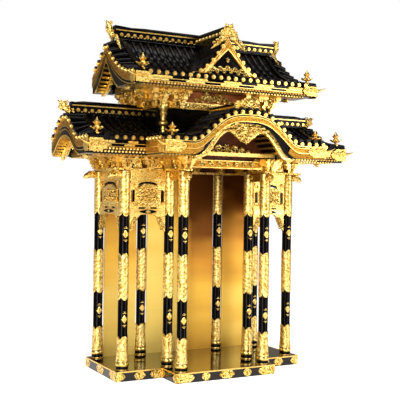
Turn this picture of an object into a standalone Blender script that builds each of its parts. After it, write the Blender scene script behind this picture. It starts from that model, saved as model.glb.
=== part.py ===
"""Temple altar shrine: a two-storey cabinet shrine of lacquered and gilt wood.

Metres, +Z up, front towards -Y. The origin is on the underside of the plinth,
below the ridges of the two roofs.
"""
from math import cos, pi, sin

import bmesh
import bpy

# Clearance kept between pieces that touch
GAP = 0.0003

# Columns: four behind, four in front and two under the porch
OUTER_COLUMN_X = 0.558
INNER_COLUMN_X = 0.2725
BACK_ROW_Y = 0.192
FRONT_ROW_Y = -0.200
PORCH_REACH = 0.184
PORCH_ROW_Y = FRONT_ROW_Y - PORCH_REACH
COLUMN_RADIUS = 0.0285
COLUMN_TOP_Z = 1.195
COLUMN_SIDES = 12
SLEEVE_PROUD = 0.0022
BASE_SLEEVE_TOP_Z = 0.231
MIDDLE_SLEEVE_Z = (0.464, 0.713)
TOP_SLEEVE_LENGTH = 0.251
BASE_SKIRT_RADIUS = 0.0375
BASE_RINGS = (0.055, 0.036, 0.024)
NOSING_LENGTH = 0.070
NOSING_WIDTH = 0.030
NOSING_HEIGHT = 0.046
NOSING_DROP = 0.002

# Plinth: a slab whose middle reaches forward under the porch columns
PLINTH_HEIGHT = 0.056
PLINTH_SIDE_MARGIN = 0.058
PLINTH_BACK_MARGIN = 0.041
PLINTH_FRONT_MARGIN = 0.057
PORCH_PLINTH_SIDE_MARGIN = 0.0545
PORCH_PLINTH_FRONT_MARGIN = 0.050
PLINTH_BACK_Y = BACK_ROW_Y + PLINTH_BACK_MARGIN
PLINTH_FRONT_Y = FRONT_ROW_Y - PLINTH_FRONT_MARGIN

# Walls, beams and pierced panels between the columns
WALL_THICKNESS = 0.014
BEAM_HEIGHT = 0.049
BEAM_THICKNESS = 0.030
PANEL_DROP = 0.253
PANEL_THICKNESS = 0.018
SPANDREL_DROP = 0.100
SPANDREL_SHARE = 0.30
SPANDREL_CUSPS = ((0.0, 1.0), (0.16, 0.86), (0.30, 0.62), (0.52, 0.50), (0.70, 0.22), (1.0, 0.0))
PANEL_CROWN_DROP = 0.046
PANEL_CROWN_DEPTH = 0.014
PANEL_CROWN_RISE = 0.030
PANEL_CROWN_SHARES = (0.30, 0.27)
PANEL_SIDE_SLOTS = ((0.03, 0.07), (0.93, 0.97))
PANEL_SIDE_SLOT_HEIGHTS = (0.36, 0.68)
PANEL_LOW_SLOTS = ((0.27, 0.42), (0.58, 0.73))
PANEL_LOW_SLOT_HEIGHTS = (0.185, 0.215)
PORCH_BEAM_RISE = 0.020
PORCH_BEAM_HEIGHT = 0.047
PORCH_BEAM_THICKNESS = 0.040

# Bracket sets on the lower storey
PLATE_THICKNESS = 0.012
BRACKET_HEIGHT = 0.0805
BRACKET_TOP_Z = COLUMN_TOP_Z + BRACKET_HEIGHT
BRACKET_DEPTH = 0.060
BRACKET_HALF_WIDTH = 0.055
PORCH_BRACKET_HALF_WIDTH = 0.044
BRACKET_STEPS = ((0.34, 0.0), (0.34, 0.26), (0.80, 0.44), (0.80, 0.66), (1.0, 0.80), (1.0, 1.0))

# Lower roof
EAVE_UNDERCUT = 0.030
ROOF_CURVE = 1.6
LOWER_EAVE_REACH = 0.203
LOWER_EAVE_FRONT_Y = FRONT_ROW_Y - LOWER_EAVE_REACH
ROOF_BACK_REACH = 0.033
ROOF_BACK_Y = BACK_ROW_Y + ROOF_BACK_REACH
LOWER_VERGE_REACH = 0.292
LOWER_VERGE_X = OUTER_COLUMN_X + LOWER_VERGE_REACH
LOWER_EAVE_DEPTH = 0.0955
LOWER_EAVE_Z = BRACKET_TOP_Z + LOWER_EAVE_DEPTH
LOWER_ROOF_RISE = 0.146
LOWER_RIDGE_Z = LOWER_EAVE_Z + LOWER_ROOF_RISE
LOWER_ARCH_RISE = 0.129
LOWER_ARCH_HALF_SPAN = 0.246
LOWER_ARCH_POWER = 1.3
LOWER_ARCH_STEPS = 10
LOWER_GABLE_RECESS = 0.105
LOWER_GABLE_RISE = 0.110

# Porch roof with its wave-shaped gable
PORCH_EAVE_REACH = 0.258
PORCH_EAVE_Y = PORCH_ROW_Y - PORCH_EAVE_REACH
PORCH_SIDE_REACH = 0.2445
PORCH_HALF_WIDTH = INNER_COLUMN_X + PORCH_SIDE_REACH
PORCH_ARCH_RISE = 0.161
PORCH_CREST_Z = LOWER_EAVE_Z + PORCH_ARCH_RISE
PORCH_ARCH_HALF_SPAN = 0.345
PORCH_ARCH_POWER = 1.5
PORCH_STEPS = 20
PORCH_HOLLOW_HALF_SPAN = 0.300
PORCH_HOLLOW_RISE = 0.185
PORCH_HOLLOW_POWER = 2.0

# Upper storey
BODY_SIDE_REACH = 0.0975
BODY_HALF_WIDTH = INNER_COLUMN_X + BODY_SIDE_REACH
BODY_FRONT_REACH = 0.0155
BODY_FRONT_Y = FRONT_ROW_Y - BODY_FRONT_REACH
BODY_HEIGHT = 0.2895
BODY_TOP_Z = BRACKET_TOP_Z + BODY_HEIGHT
CORBEL_HEIGHT = 0.1044
CORBEL_TOP_Z = BODY_TOP_Z + CORBEL_HEIGHT
CORBEL_TIERS = 3
CORBEL_REACH = 0.066
CORBEL_BLOCK_WIDTH = 0.070
CORBEL_WIDENING = 0.028
CORBEL_INNER_X = 0.245

# Upper roof with its front dormer
UPPER_EAVE_REACH = 0.2185
UPPER_EAVE_FRONT_Y = BODY_FRONT_Y - UPPER_EAVE_REACH
UPPER_VERGE_REACH = 0.230
UPPER_VERGE_X = BODY_HALF_WIDTH + UPPER_VERGE_REACH
UPPER_EAVE_DEPTH = 0.0681
UPPER_EAVE_Z = CORBEL_TOP_Z + UPPER_EAVE_DEPTH
UPPER_ROOF_RISE = 0.2415
UPPER_RIDGE_Z = UPPER_EAVE_Z + UPPER_ROOF_RISE
UPPER_VERGE_DROP = 0.030
UPPER_CURVE = 2.1
UPPER_GABLE_RECESS = 0.110
UPPER_GABLE_HALF_SPAN = 0.190
UPPER_GABLE_RISE = 0.185
UPPER_GABLE_STEPS = 8
DORMER_SETBACK = 0.062
DORMER_FRONT_Y = UPPER_EAVE_FRONT_Y + DORMER_SETBACK
DORMER_RISE = 0.2505
DORMER_TOP_Z = UPPER_EAVE_Z + DORMER_RISE
DORMER_HALF_SPAN = 0.320
DORMER_CURVE = 2.34
DORMER_STATIONS = (0.2, 0.38, 0.6, 1.0)
DORMER_RIDGE_RISE = 0.042
DORMER_RIDGE_HALF = 0.022
HIP_ROLL_WIDTH = 0.030
HIP_ROLL_HEIGHT = 0.016
HIP_ROLL_INSET = 0.070
HIP_ROLL_EDGE = 0.0015

# Ridges
RIDGE_THICKNESS = 0.044
RIDGE_HEIGHT = 0.063
RIDGE_BEND = 0.12
RIDGE_BEND_LIFT = 0.3
LOWER_RIDGE_INSET = 0.031
LOWER_RIDGE_END_X = LOWER_VERGE_X - LOWER_RIDGE_INSET
UPPER_RIDGE_INSET = 0.044
UPPER_RIDGE_END_X = UPPER_VERGE_X - UPPER_RIDGE_INSET
RIDGE_END_LIFT = 0.012
PORCH_RIDGE_SETBACK = 0.042
PORCH_RIDGE_FRONT_Y = PORCH_EAVE_Y + PORCH_RIDGE_SETBACK
PORCH_RIDGE_HEIGHT = 0.034

# The dormer's ridge runs back to just short of the main ridge
DORMER_END = RIDGE_THICKNESS / 2 + 3 * GAP

# Boards along the gables
BOARD_THICKNESS = 0.016
BOARD_DEPTH = 0.042
LOWER_BOARD_INSET = 0.060
UPPER_BOARD_INSET = 0.057
BOARD_TAIL_Y = 0.200
BOARD_TAIL_DROP = 0.015
BOARD_SHOULDER = 0.45
BOARD_TAPER = 0.60
BOARD_TAIL_WIDTH = 0.25
PORCH_BOARD_TAIL_X = 0.318
PORCH_BOARD_TAIL_DROP = 0.0235
PORCH_BOARD_TAIL_CUT = 0.010
PORCH_BOARD_SETBACK = 0.032
PORCH_INNER_HALF_SPAN = 0.270
PORCH_INNER_RISE = 0.161
PENDANT_DROP = 0.072
PENDANT_HALF_WIDTH = 0.125
DORMER_BOARD_SHARE = 0.72
DORMER_BOARD_STEPS = 12
DORMER_BOARD_DROP = 0.006
DORMER_BOARD_FOOT = 0.022
DORMER_BOARD_TOE = 0.004
DORMER_BOARD_INNER_SHARE = 0.60
DORMER_BOARD_INNER_RISE = 0.150

# Ridge-end crests and corner finials
CREST_THICKNESS = 0.022
SIDE_CREST_THICKNESS = 0.044
LOWER_CREST_REACH = 0.076
LOWER_CREST_HEIGHT = 0.0745
LOWER_CREST_FOOT = 0.0118
UPPER_CREST_REACH = 0.048
UPPER_CREST_HEIGHT = 0.099
PORCH_CREST_HALF_WIDTH = 0.098
PORCH_CREST_HEIGHT = 0.072
PORCH_CREST_LOBES = 5
PORCH_CREST_LOBING = 0.18
DORMER_CREST_HALF_WIDTH = 0.078
DORMER_CREST_HEIGHT = 0.170
DORMER_CREST_SUNK = 0.085
DORMER_CREST_LOBES = 7
DORMER_CREST_LOBING = 0.14
FINIAL_RADIUS = 0.021
FINIAL_HEIGHT = 0.096
PORCH_FINIAL_HEIGHT = 0.074
FINIAL_SIDES = 8
FINIAL_INSET = (0.052, 0.026)


def finish(name, srgb, roughness, metallic):
    """A principled material from an sRGB hex colour."""
    parts = [int(srgb[i:i + 2], 16) / 255 for i in (0, 2, 4)]
    linear = [c / 12.92 if c <= 0.04045 else ((c + 0.055) / 1.055) ** 2.4 for c in parts]
    material = bpy.data.materials.new(name)
    material.use_nodes = True
    shader = material.node_tree.nodes["Principled BSDF"]
    shader.inputs["Base Color"].default_value = (*linear, 1.0)
    shader.inputs["Roughness"].default_value = roughness
    shader.inputs["Metallic"].default_value = metallic
    return material


def place(name, data, material, location=(0, 0, 0), turn=(0, 0, 0), group="shrine"):
    """An object in its collection, with its material."""
    item = bpy.data.objects.new(name, data)
    item.location = location
    item.rotation_euler = turn
    if material:
        data.materials.append(material)
    bpy.data.collections[group].objects.link(item)
    return item


def box(name, x, y, z, material, group="shrine"):
    """A box between the low and high values of x, y and z."""
    mesh = bpy.data.meshes.new(name)
    form = bmesh.new()
    bmesh.ops.create_cube(form, size=1.0)
    bmesh.ops.scale(form, vec=(x[1] - x[0], y[1] - y[0], z[1] - z[0]), verts=form.verts)
    form.to_mesh(mesh)
    form.free()
    centre = ((x[0] + x[1]) / 2, (y[0] + y[1]) / 2, (z[0] + z[1]) / 2)
    return place(name, mesh, material, centre, group=group)


def plate(name, loops, thickness, facing, location, material):
    """A flat piece: its outline and any holes, facing along X, Y or Z."""
    curve = bpy.data.curves.new(name, "CURVE")
    curve.dimensions = "2D"
    curve.fill_mode = "BOTH"
    curve.extrude = thickness / 2
    for loop in loops:
        spline = curve.splines.new("POLY")
        spline.points.add(len(loop) - 1)
        for point, (u, v) in zip(spline.points, loop):
            point.co = (u, v, 0, 1)
        spline.use_cyclic_u = True
    turns = {"X": (pi / 2, 0, pi / 2), "Y": (pi / 2, 0, 0), "Z": (0, 0, 0)}
    return place(name, curve, material, location, turns[facing])


def turned(name, profile, sides, location, material):
    """A turned piece from its (radius, height) profile, top to bottom."""
    mesh = bpy.data.meshes.new(name)
    form = bmesh.new()
    points = [form.verts.new((radius, 0, height)) for radius, height in profile]
    for low, high in zip(points, points[1:]):
        form.edges.new((low, high))
    form.to_mesh(mesh)
    form.free()
    item = place(name, mesh, material, location)
    screw = item.modifiers.new("turn", "SCREW")
    screw.steps = sides
    screw.render_steps = sides
    screw.use_merge_vertices = True
    screw.merge_threshold = 0.0001
    return item


def union(item, others):
    """Join other closed pieces to an item."""
    for other in others:
        other.hide_render = True
        other.display_type = "WIRE"
        joint = item.modifiers.new("join", "BOOLEAN")
        joint.operation = "UNION"
        joint.object = other


def slab(name, xs, ys, top, under, keep, material):
    """A solid between two height functions over a grid of x and y lines.

    under gives a whole point, so that an eave can slope back under its edge.
    """
    mesh = bpy.data.meshes.new(name)
    form = bmesh.new()
    bmesh.ops.create_grid(form, x_segments=len(xs) - 1, y_segments=len(ys) - 1, size=0.5)
    for point in form.verts:
        point.co.x = xs[round((point.co.x + 0.5) * (len(xs) - 1))]
        point.co.y = ys[round((point.co.y + 0.5) * (len(ys) - 1))]
    outside = [f for f in form.faces if not keep(*f.calc_center_median().xy)]
    bmesh.ops.delete(form, geom=outside, context="FACES")
    raised = bmesh.ops.extrude_face_region(form, geom=form.faces[:])
    upper = {v for v in raised["geom"] if isinstance(v, bmesh.types.BMVert)}
    for point in form.verts:
        if point in upper:
            point.co.z = top(point.co.x, point.co.y)
        else:
            point.co = under(point.co.x, point.co.y)
    bmesh.ops.recalc_face_normals(form, faces=form.faces)
    form.to_mesh(mesh)
    form.free()
    return place(name, mesh, material)


def spread(start, end, count):
    """count + 1 even values from start to end."""
    return [start + (end - start) * i / count for i in range(count + 1)]


def bell(distance, half_span, power):
    """A rounded arch from 1 at its middle to 0 at its feet."""
    share = min(1.0, abs(distance) / half_span)
    return 0.5 * (1 + cos(pi * share ** power))


def ramp(value, start, end):
    """A smooth step from 0 at start to 1 at end."""
    share = max(0.0, min(1.0, (value - start) / (end - start)))
    return share * share * (3 - 2 * share)


def in_lower_arch(y):
    """Share of the arch height over the lower side gables."""
    return bell(y, LOWER_ARCH_HALF_SPAN, LOWER_ARCH_POWER)


def lower_top(x, y):
    """Tile surface of the lower roof's wings."""
    fall = min(1.0, abs(y) / abs(LOWER_EAVE_FRONT_Y))
    slope = LOWER_EAVE_Z + LOWER_ROOF_RISE * (1 - fall) ** ROOF_CURVE
    verge = LOWER_EAVE_Z + LOWER_ARCH_RISE * in_lower_arch(y)
    share = ramp(abs(x), LOWER_VERGE_X - HIP_ROLL_INSET, LOWER_VERGE_X)
    return slope + (verge - slope) * share + hip_roll(x, y, LOWER_VERGE_X)


def hip_roll(x, y, verge_x):
    """Height of the roll that runs from the ridge down the roof beside the verge."""
    across = abs(abs(x) - (verge_x - HIP_ROLL_INSET - HIP_ROLL_WIDTH))
    return HIP_ROLL_HEIGHT if across < HIP_ROLL_WIDTH / 2 and abs(y) > GAP else 0.0


def lower_under(x, y):
    """Underside of the lower roof's wings, hollow behind the gable boards."""
    soffit = BRACKET_TOP_Z + GAP
    if abs(x) > LOWER_VERGE_X - LOWER_GABLE_RECESS:
        soffit += LOWER_GABLE_RISE * in_lower_arch(y)
    return (x, pull_in(y, LOWER_EAVE_FRONT_Y), soffit)


def pull_in(y, eave_y):
    """Move the eave's lower edge back under the eave."""
    return y + EAVE_UNDERCUT if abs(y - eave_y) < GAP else y


def roll_lines(verge_x):
    """Grid lines on both edges of the roll beside the verge."""
    middle = verge_x - HIP_ROLL_INSET - HIP_ROLL_WIDTH
    half = HIP_ROLL_WIDTH / 2
    inner = half - HIP_ROLL_EDGE
    outer = half + HIP_ROLL_EDGE
    return [middle - outer, middle - inner, middle + inner, middle + outer]


def gable_lines(verge_x, recess):
    """Grid lines where the hollow behind the gable boards starts, and over it."""
    start = verge_x - recess
    return [start - GAP, start + GAP, verge_x - HIP_ROLL_INSET / 2, verge_x]


def arch_lines(half_span, count):
    """Grid lines over an arch that stands on the middle line, to the back."""
    lines = [y for y in spread(-half_span, half_span, count) if y < ROOF_BACK_Y - half_span / count]
    return lines + [ROOF_BACK_Y]


def lower_wing(side, name, lacquer):
    """One wing of the lower roof, from the upper storey out to its gable."""
    start = BODY_HALF_WIDTH + GAP
    xs = [start, (start + LOWER_VERGE_X) / 2] + roll_lines(LOWER_VERGE_X)
    xs = sorted(xs + gable_lines(LOWER_VERGE_X, LOWER_GABLE_RECESS))
    ys = [LOWER_EAVE_FRONT_Y, (LOWER_EAVE_FRONT_Y - LOWER_ARCH_HALF_SPAN) / 2]
    ys += arch_lines(LOWER_ARCH_HALF_SPAN, LOWER_ARCH_STEPS)
    xs = [side * x for x in (xs if side > 0 else reversed(xs))]
    slab(name, xs, ys, lower_top, lower_under, lambda x, y: True, lacquer)


def porch_arch(x):
    """Tile surface of the porch roof across its width."""
    share = bell(x, PORCH_ARCH_HALF_SPAN, PORCH_ARCH_POWER)
    return LOWER_EAVE_Z + PORCH_ARCH_RISE * share


def porch_top(x, y):
    """Tile surface of the porch roof, which runs back into the lower roof."""
    fall = min(1.0, abs(y) / abs(LOWER_EAVE_FRONT_Y))
    slope = LOWER_EAVE_Z + LOWER_ROOF_RISE * (1 - fall) ** ROOF_CURVE
    return max(porch_arch(x), slope)


def porch_soffit(x):
    """Underside of the porch roof across its width, hollow under the arch."""
    rise = PORCH_HOLLOW_RISE * bell(x, PORCH_HOLLOW_HALF_SPAN, PORCH_HOLLOW_POWER)
    return BRACKET_TOP_Z + GAP + rise


def porch_under(x, y):
    """Underside of the porch roof, level where it meets the upper storey."""
    behind = y > LOWER_EAVE_FRONT_Y + PORCH_BOARD_SETBACK + GAP / 2
    height = BRACKET_TOP_Z + GAP if behind else porch_soffit(x)
    return (x, pull_in(y, PORCH_EAVE_Y), height)


def porch_lines():
    """Grid lines across the porch roof, closer over the arch."""
    middle = spread(-BODY_HALF_WIDTH, BODY_HALF_WIDTH, PORCH_STEPS)
    return [-PORCH_HALF_WIDTH] + middle + [PORCH_HALF_WIDTH]


def porch_roof(lacquer):
    """The porch roof, narrower where it runs in between the two wings."""
    meet_y = LOWER_EAVE_FRONT_Y - GAP
    hollow_end = LOWER_EAVE_FRONT_Y + PORCH_BOARD_SETBACK
    ys = [PORCH_EAVE_Y, PORCH_EAVE_Y + PORCH_BOARD_SETBACK * 2, meet_y]
    ys += [hollow_end, hollow_end + GAP, (hollow_end + BODY_FRONT_Y) / 2, BODY_FRONT_Y - GAP]
    slab("porch_roof", porch_lines(), ys, porch_top, porch_under,
         lambda x, y: y < meet_y or abs(x) < BODY_HALF_WIDTH, lacquer)


def dormer_rise(x):
    """Share of the dormer's height across its width."""
    return (1 - min(1.0, abs(x) / DORMER_HALF_SPAN)) ** DORMER_CURVE


def upper_slope(y, crest):
    """A concave slope from a crest height down to the upper eave."""
    fall = min(1.0, abs(y) / abs(UPPER_EAVE_FRONT_Y))
    return UPPER_EAVE_Z + (crest - UPPER_EAVE_Z) * (1 - fall) ** UPPER_CURVE


def upper_top(x, y):
    """Tile surface of the upper roof with its front dormer and dormer ridge."""
    share = ramp(abs(x), UPPER_VERGE_X - HIP_ROLL_INSET, UPPER_VERGE_X)
    crest = UPPER_RIDGE_Z - UPPER_VERGE_DROP * share
    height = upper_slope(y, crest) + hip_roll(x, y, UPPER_VERGE_X)
    if DORMER_FRONT_Y - GAP < y < -DORMER_END:
        height = max(height, UPPER_EAVE_Z + DORMER_RISE * dormer_rise(x))
        if abs(x) < DORMER_RIDGE_HALF + GAP:
            height = max(height, DORMER_TOP_Z + DORMER_RIDGE_RISE)
    return height


def upper_gable_rise(y):
    """Height of the hollow behind the upper gable boards."""
    share = max(0.0, 1 - abs(y) / UPPER_GABLE_HALF_SPAN)
    return UPPER_GABLE_RISE * share ** ((UPPER_CURVE + 1) / 2)


def upper_under(x, y):
    """Underside of the upper roof, hollow behind the gable boards."""
    soffit = CORBEL_TOP_Z + GAP
    if abs(x) > UPPER_VERGE_X - UPPER_GABLE_RECESS:
        soffit += upper_gable_rise(y)
    return (x, pull_in(y, UPPER_EAVE_FRONT_Y), soffit)


def upper_lines():
    """Grid lines from the front to the back of the upper roof."""
    ys = [UPPER_EAVE_FRONT_Y, DORMER_FRONT_Y - 2 * GAP, DORMER_FRONT_Y]
    ys += arch_lines(UPPER_GABLE_HALF_SPAN, UPPER_GABLE_STEPS)
    ys += [(DORMER_FRONT_Y - UPPER_GABLE_HALF_SPAN) / 2, -DORMER_END - GAP, -DORMER_END + GAP]
    return sorted(ys)


def upper_roof(lacquer):
    """The upper roof: a gabled roof with a dormer in the middle of its front."""
    half = [DORMER_RIDGE_HALF, DORMER_RIDGE_HALF + GAP * 4]
    half += [DORMER_HALF_SPAN * share for share in DORMER_STATIONS]
    half += roll_lines(UPPER_VERGE_X) + gable_lines(UPPER_VERGE_X, UPPER_GABLE_RECESS)
    half = sorted(half)
    xs = [-x for x in reversed(half)] + half
    slab("upper_roof", xs, upper_lines(), upper_top, upper_under, lambda x, y: True, lacquer)


def plinth(lacquer):
    """The slab that carries everything, with its middle reaching forward."""
    half = OUTER_COLUMN_X + PLINTH_SIDE_MARGIN
    porch = INNER_COLUMN_X + PORCH_PLINTH_SIDE_MARGIN
    step = PORCH_ROW_Y - PORCH_PLINTH_FRONT_MARGIN
    outline = [(-half, PLINTH_BACK_Y), (-half, PLINTH_FRONT_Y), (-porch, PLINTH_FRONT_Y)]
    outline += [(-porch, step), (porch, step), (porch, PLINTH_FRONT_Y)]
    outline += [(half, PLINTH_FRONT_Y), (half, PLINTH_BACK_Y)]
    plate("plinth", [outline], PLINTH_HEIGHT, "Z", (0, 0, PLINTH_HEIGHT / 2), lacquer)


def column_profile():
    """A round shaft with three gilt sleeves over a moulded base pad."""
    shaft = COLUMN_RADIUS
    sleeve = COLUMN_RADIUS + SLEEVE_PROUD
    skirt = BASE_SKIRT_RADIUS
    foot = PLINTH_HEIGHT + GAP
    low, high = MIDDLE_SLEEVE_Z
    top = COLUMN_TOP_Z - TOP_SLEEVE_LENGTH
    profile = [(0, COLUMN_TOP_Z), (sleeve, COLUMN_TOP_Z), (sleeve, top)]
    profile += [(shaft, top), (shaft, high), (sleeve, high), (sleeve, low)]
    profile += [(shaft, low), (shaft, BASE_SLEEVE_TOP_Z), (sleeve, BASE_SLEEVE_TOP_Z)]
    crown, waist, step = BASE_RINGS
    profile += [(skirt, foot + crown), (sleeve, foot + waist), (skirt, foot + step)]
    profile += [(skirt - SLEEVE_PROUD, foot), (0, foot)]
    return profile


def column(name, x, y, lacquer, nosing_side=0):
    """One column, with the head beam's nosing on the outer ones."""
    post = turned(name, column_profile(), COLUMN_SIDES, (x, y, 0), lacquer)
    if nosing_side:
        reach = COLUMN_RADIUS + NOSING_LENGTH
        ends = sorted((x, x + nosing_side * reach))
        nosing = box(name + "_nosing", ends, (y - NOSING_WIDTH / 2, y + NOSING_WIDTH / 2),
                     (COLUMN_TOP_Z - NOSING_HEIGHT, COLUMN_TOP_Z - NOSING_DROP), None, "cutters")
        union(post, [nosing])


def columns(lacquer):
    """All ten columns."""
    for side, word in ((-1, "left"), (1, "right")):
        column("column_back_outer_" + word, side * OUTER_COLUMN_X, BACK_ROW_Y, lacquer, side)
        column("column_back_inner_" + word, side * INNER_COLUMN_X, BACK_ROW_Y, lacquer)
        column("column_front_outer_" + word, side * OUTER_COLUMN_X, FRONT_ROW_Y, lacquer, side)
        column("column_front_inner_" + word, side * INNER_COLUMN_X, FRONT_ROW_Y, lacquer)
        column("column_porch_" + word, side * INNER_COLUMN_X, PORCH_ROW_Y, lacquer)


def between(start, end):
    """Low and high ends of a piece fitted between two columns' centres."""
    clear = BASE_SKIRT_RADIUS + GAP
    low, high = sorted((start, end))
    return low + clear, high - clear


def beam_between(start, end):
    """Low and high ends of a beam fitted between two columns' sleeves."""
    clear = COLUMN_RADIUS + SLEEVE_PROUD + GAP
    low, high = sorted((start, end))
    return low + clear, high - clear


def back_walls(leaf):
    """Gilt panels between the back columns."""
    y = (BACK_ROW_Y - WALL_THICKNESS / 2, BACK_ROW_Y + WALL_THICKNESS / 2)
    z = (PLINTH_HEIGHT + GAP, COLUMN_TOP_Z)
    box("wall_center", between(-INNER_COLUMN_X, INNER_COLUMN_X), y, z, leaf)
    box("wall_left", between(-OUTER_COLUMN_X, -INNER_COLUMN_X), y, z, leaf)
    box("wall_right", between(INNER_COLUMN_X, OUTER_COLUMN_X), y, z, leaf)


def beams(gilt):
    """Head beams between the columns, and the beam across the porch front."""
    z = (COLUMN_TOP_Z - BEAM_HEIGHT, COLUMN_TOP_Z)
    half = BEAM_THICKNESS / 2
    front = (FRONT_ROW_Y - half, FRONT_ROW_Y + half)
    for side, word in ((-1, "left"), (1, "right")):
        outer = side * OUTER_COLUMN_X
        inner = side * INNER_COLUMN_X
        box("beam_side_" + word, (outer - half, outer + half),
            beam_between(FRONT_ROW_Y, BACK_ROW_Y), z, gilt)
        box("beam_wing_" + word, beam_between(outer, inner), front, z, gilt)
        box("beam_porch_side_" + word, (inner - half, inner + half),
            beam_between(PORCH_ROW_Y, FRONT_ROW_Y), z, gilt)
    reach = INNER_COLUMN_X - BRACKET_DEPTH / 2 - GAP
    half = PORCH_BEAM_THICKNESS / 2
    foot = COLUMN_TOP_Z + PORCH_BEAM_RISE
    box("beam_porch_front", (-reach, reach), (PORCH_ROW_Y - half, PORCH_ROW_Y + half),
        (foot, foot + PORCH_BEAM_HEIGHT), gilt)


def arc(centre, radii, start, end, count):
    """Points on an ellipse from one angle to another."""
    angles = spread(start, end, count)
    return [(centre[0] + radii[0] * cos(a), centre[1] + radii[1] * sin(a)) for a in angles]


def panel_loops(width, height):
    """A pierced panel: frame, cusped spandrels below, and slots."""
    spandrel = width * SPANDREL_SHARE
    left = [(spandrel * u, -SPANDREL_DROP * v) for u, v in SPANDREL_CUSPS]
    right = [(width - u, v) for u, v in reversed(left)]
    outer = left + right + [(width, height), (0, height)]
    middle = width / 2
    crown = height - PANEL_CROWN_DROP
    wide, narrow = [width * share for share in PANEL_CROWN_SHARES]
    slot = arc((middle, crown), (wide, PANEL_CROWN_RISE), pi * 0.94, pi * 0.06, 6)
    slot += arc((middle, crown - PANEL_CROWN_DEPTH), (narrow, PANEL_CROWN_RISE),
                pi * 0.10, pi * 0.90, 6)
    loops = [outer, slot]
    for slots, heights in ((PANEL_SIDE_SLOTS, PANEL_SIDE_SLOT_HEIGHTS),
                           (PANEL_LOW_SLOTS, PANEL_LOW_SLOT_HEIGHTS)):
        foot, top = [height * share for share in heights]
        for low, high in slots:
            loops.append(rectangle(width * low, width * high, foot, top))
    return loops


def rectangle(u0, u1, v0, v1):
    """Corners of an upright rectangle."""
    return [(u0, v0), (u1, v0), (u1, v1), (u0, v1)]


def pierced_panels(gilt):
    """Carved openwork panels under the head beams of the wings and sides."""
    height = PANEL_DROP - BEAM_HEIGHT - GAP
    rail = COLUMN_TOP_Z - PANEL_DROP
    sides = beam_between(FRONT_ROW_Y, BACK_ROW_Y)
    for side, word in ((-1, "left"), (1, "right")):
        wing = beam_between(side * OUTER_COLUMN_X, side * INNER_COLUMN_X)
        plate("panel_wing_" + word, panel_loops(wing[1] - wing[0], height), PANEL_THICKNESS,
              "Y", (wing[0], FRONT_ROW_Y, rail), gilt)
        plate("panel_side_" + word, panel_loops(sides[1] - sides[0], height), PANEL_THICKNESS,
              "X", (side * OUTER_COLUMN_X, sides[0], rail), gilt)


def bracket_loop(start, end, centres, wide=BRACKET_HALF_WIDTH):
    """A plate with bracket sets that widen upwards, seen along its length."""
    rise = BRACKET_HEIGHT - GAP - PLATE_THICKNESS
    half = [(wide * u, PLATE_THICKNESS + rise * v) for u, v in BRACKET_STEPS]
    outline = [(start, 0), (end, 0), (end, PLATE_THICKNESS)]
    for centre in sorted(centres, reverse=True):
        outline += [(centre + u, v) for u, v in half]
        outline += [(centre - u, v) for u, v in reversed(half)]
    return outline + [(start, PLATE_THICKNESS)]


def bracket_rows(gilt):
    """Bracket sets on the columns and half way between them."""
    z = COLUMN_TOP_Z + GAP
    half = BRACKET_DEPTH / 2
    reach = BRACKET_HALF_WIDTH + half
    wing_back = FRONT_ROW_Y + half + GAP
    end = OUTER_COLUMN_X - half - GAP
    middle = (INNER_COLUMN_X + OUTER_COLUMN_X) / 2
    third = INNER_COLUMN_X / 3
    row = [s * x for s in (-1, 1) for x in (third, INNER_COLUMN_X, middle)]
    back = bracket_loop(-end, end, row)
    plate("brackets_back", [back], BRACKET_DEPTH, "Y", (0, BACK_ROW_Y, z), gilt)
    side_row = bracket_loop(wing_back, BACK_ROW_Y + half, [BACK_ROW_Y - half, 0])
    porch_back = FRONT_ROW_Y - half - GAP
    wide = PORCH_BRACKET_HALF_WIDTH
    pair = [PORCH_ROW_Y, porch_back - wide - half / 2]
    porch_row = bracket_loop(PORCH_ROW_Y - wide - GAP, porch_back, pair, wide)
    for side, word in ((-1, "left"), (1, "right")):
        ends = (side * (OUTER_COLUMN_X + reach), side * (INNER_COLUMN_X - half))
        stations = [side * OUTER_COLUMN_X, side * middle, side * (INNER_COLUMN_X + half)]
        wing = bracket_loop(min(ends), max(ends), stations)
        plate("brackets_wing_" + word, [wing], BRACKET_DEPTH, "Y", (0, FRONT_ROW_Y, z), gilt)
        plate("brackets_side_" + word, [side_row], BRACKET_DEPTH, "X",
              (side * OUTER_COLUMN_X, 0, z), gilt)
        plate("brackets_porch_" + word, [porch_row], BRACKET_DEPTH, "X",
              (side * INNER_COLUMN_X, 0, z), gilt)


def upper_body(lacquer):
    """The upper storey's walls, between the lower roof's ridges and the upper brackets."""
    box("upper_body", (-BODY_HALF_WIDTH, BODY_HALF_WIDTH), (BODY_FRONT_Y, ROOF_BACK_Y),
        (BRACKET_TOP_Z + GAP, BODY_TOP_Z), lacquer)


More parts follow.
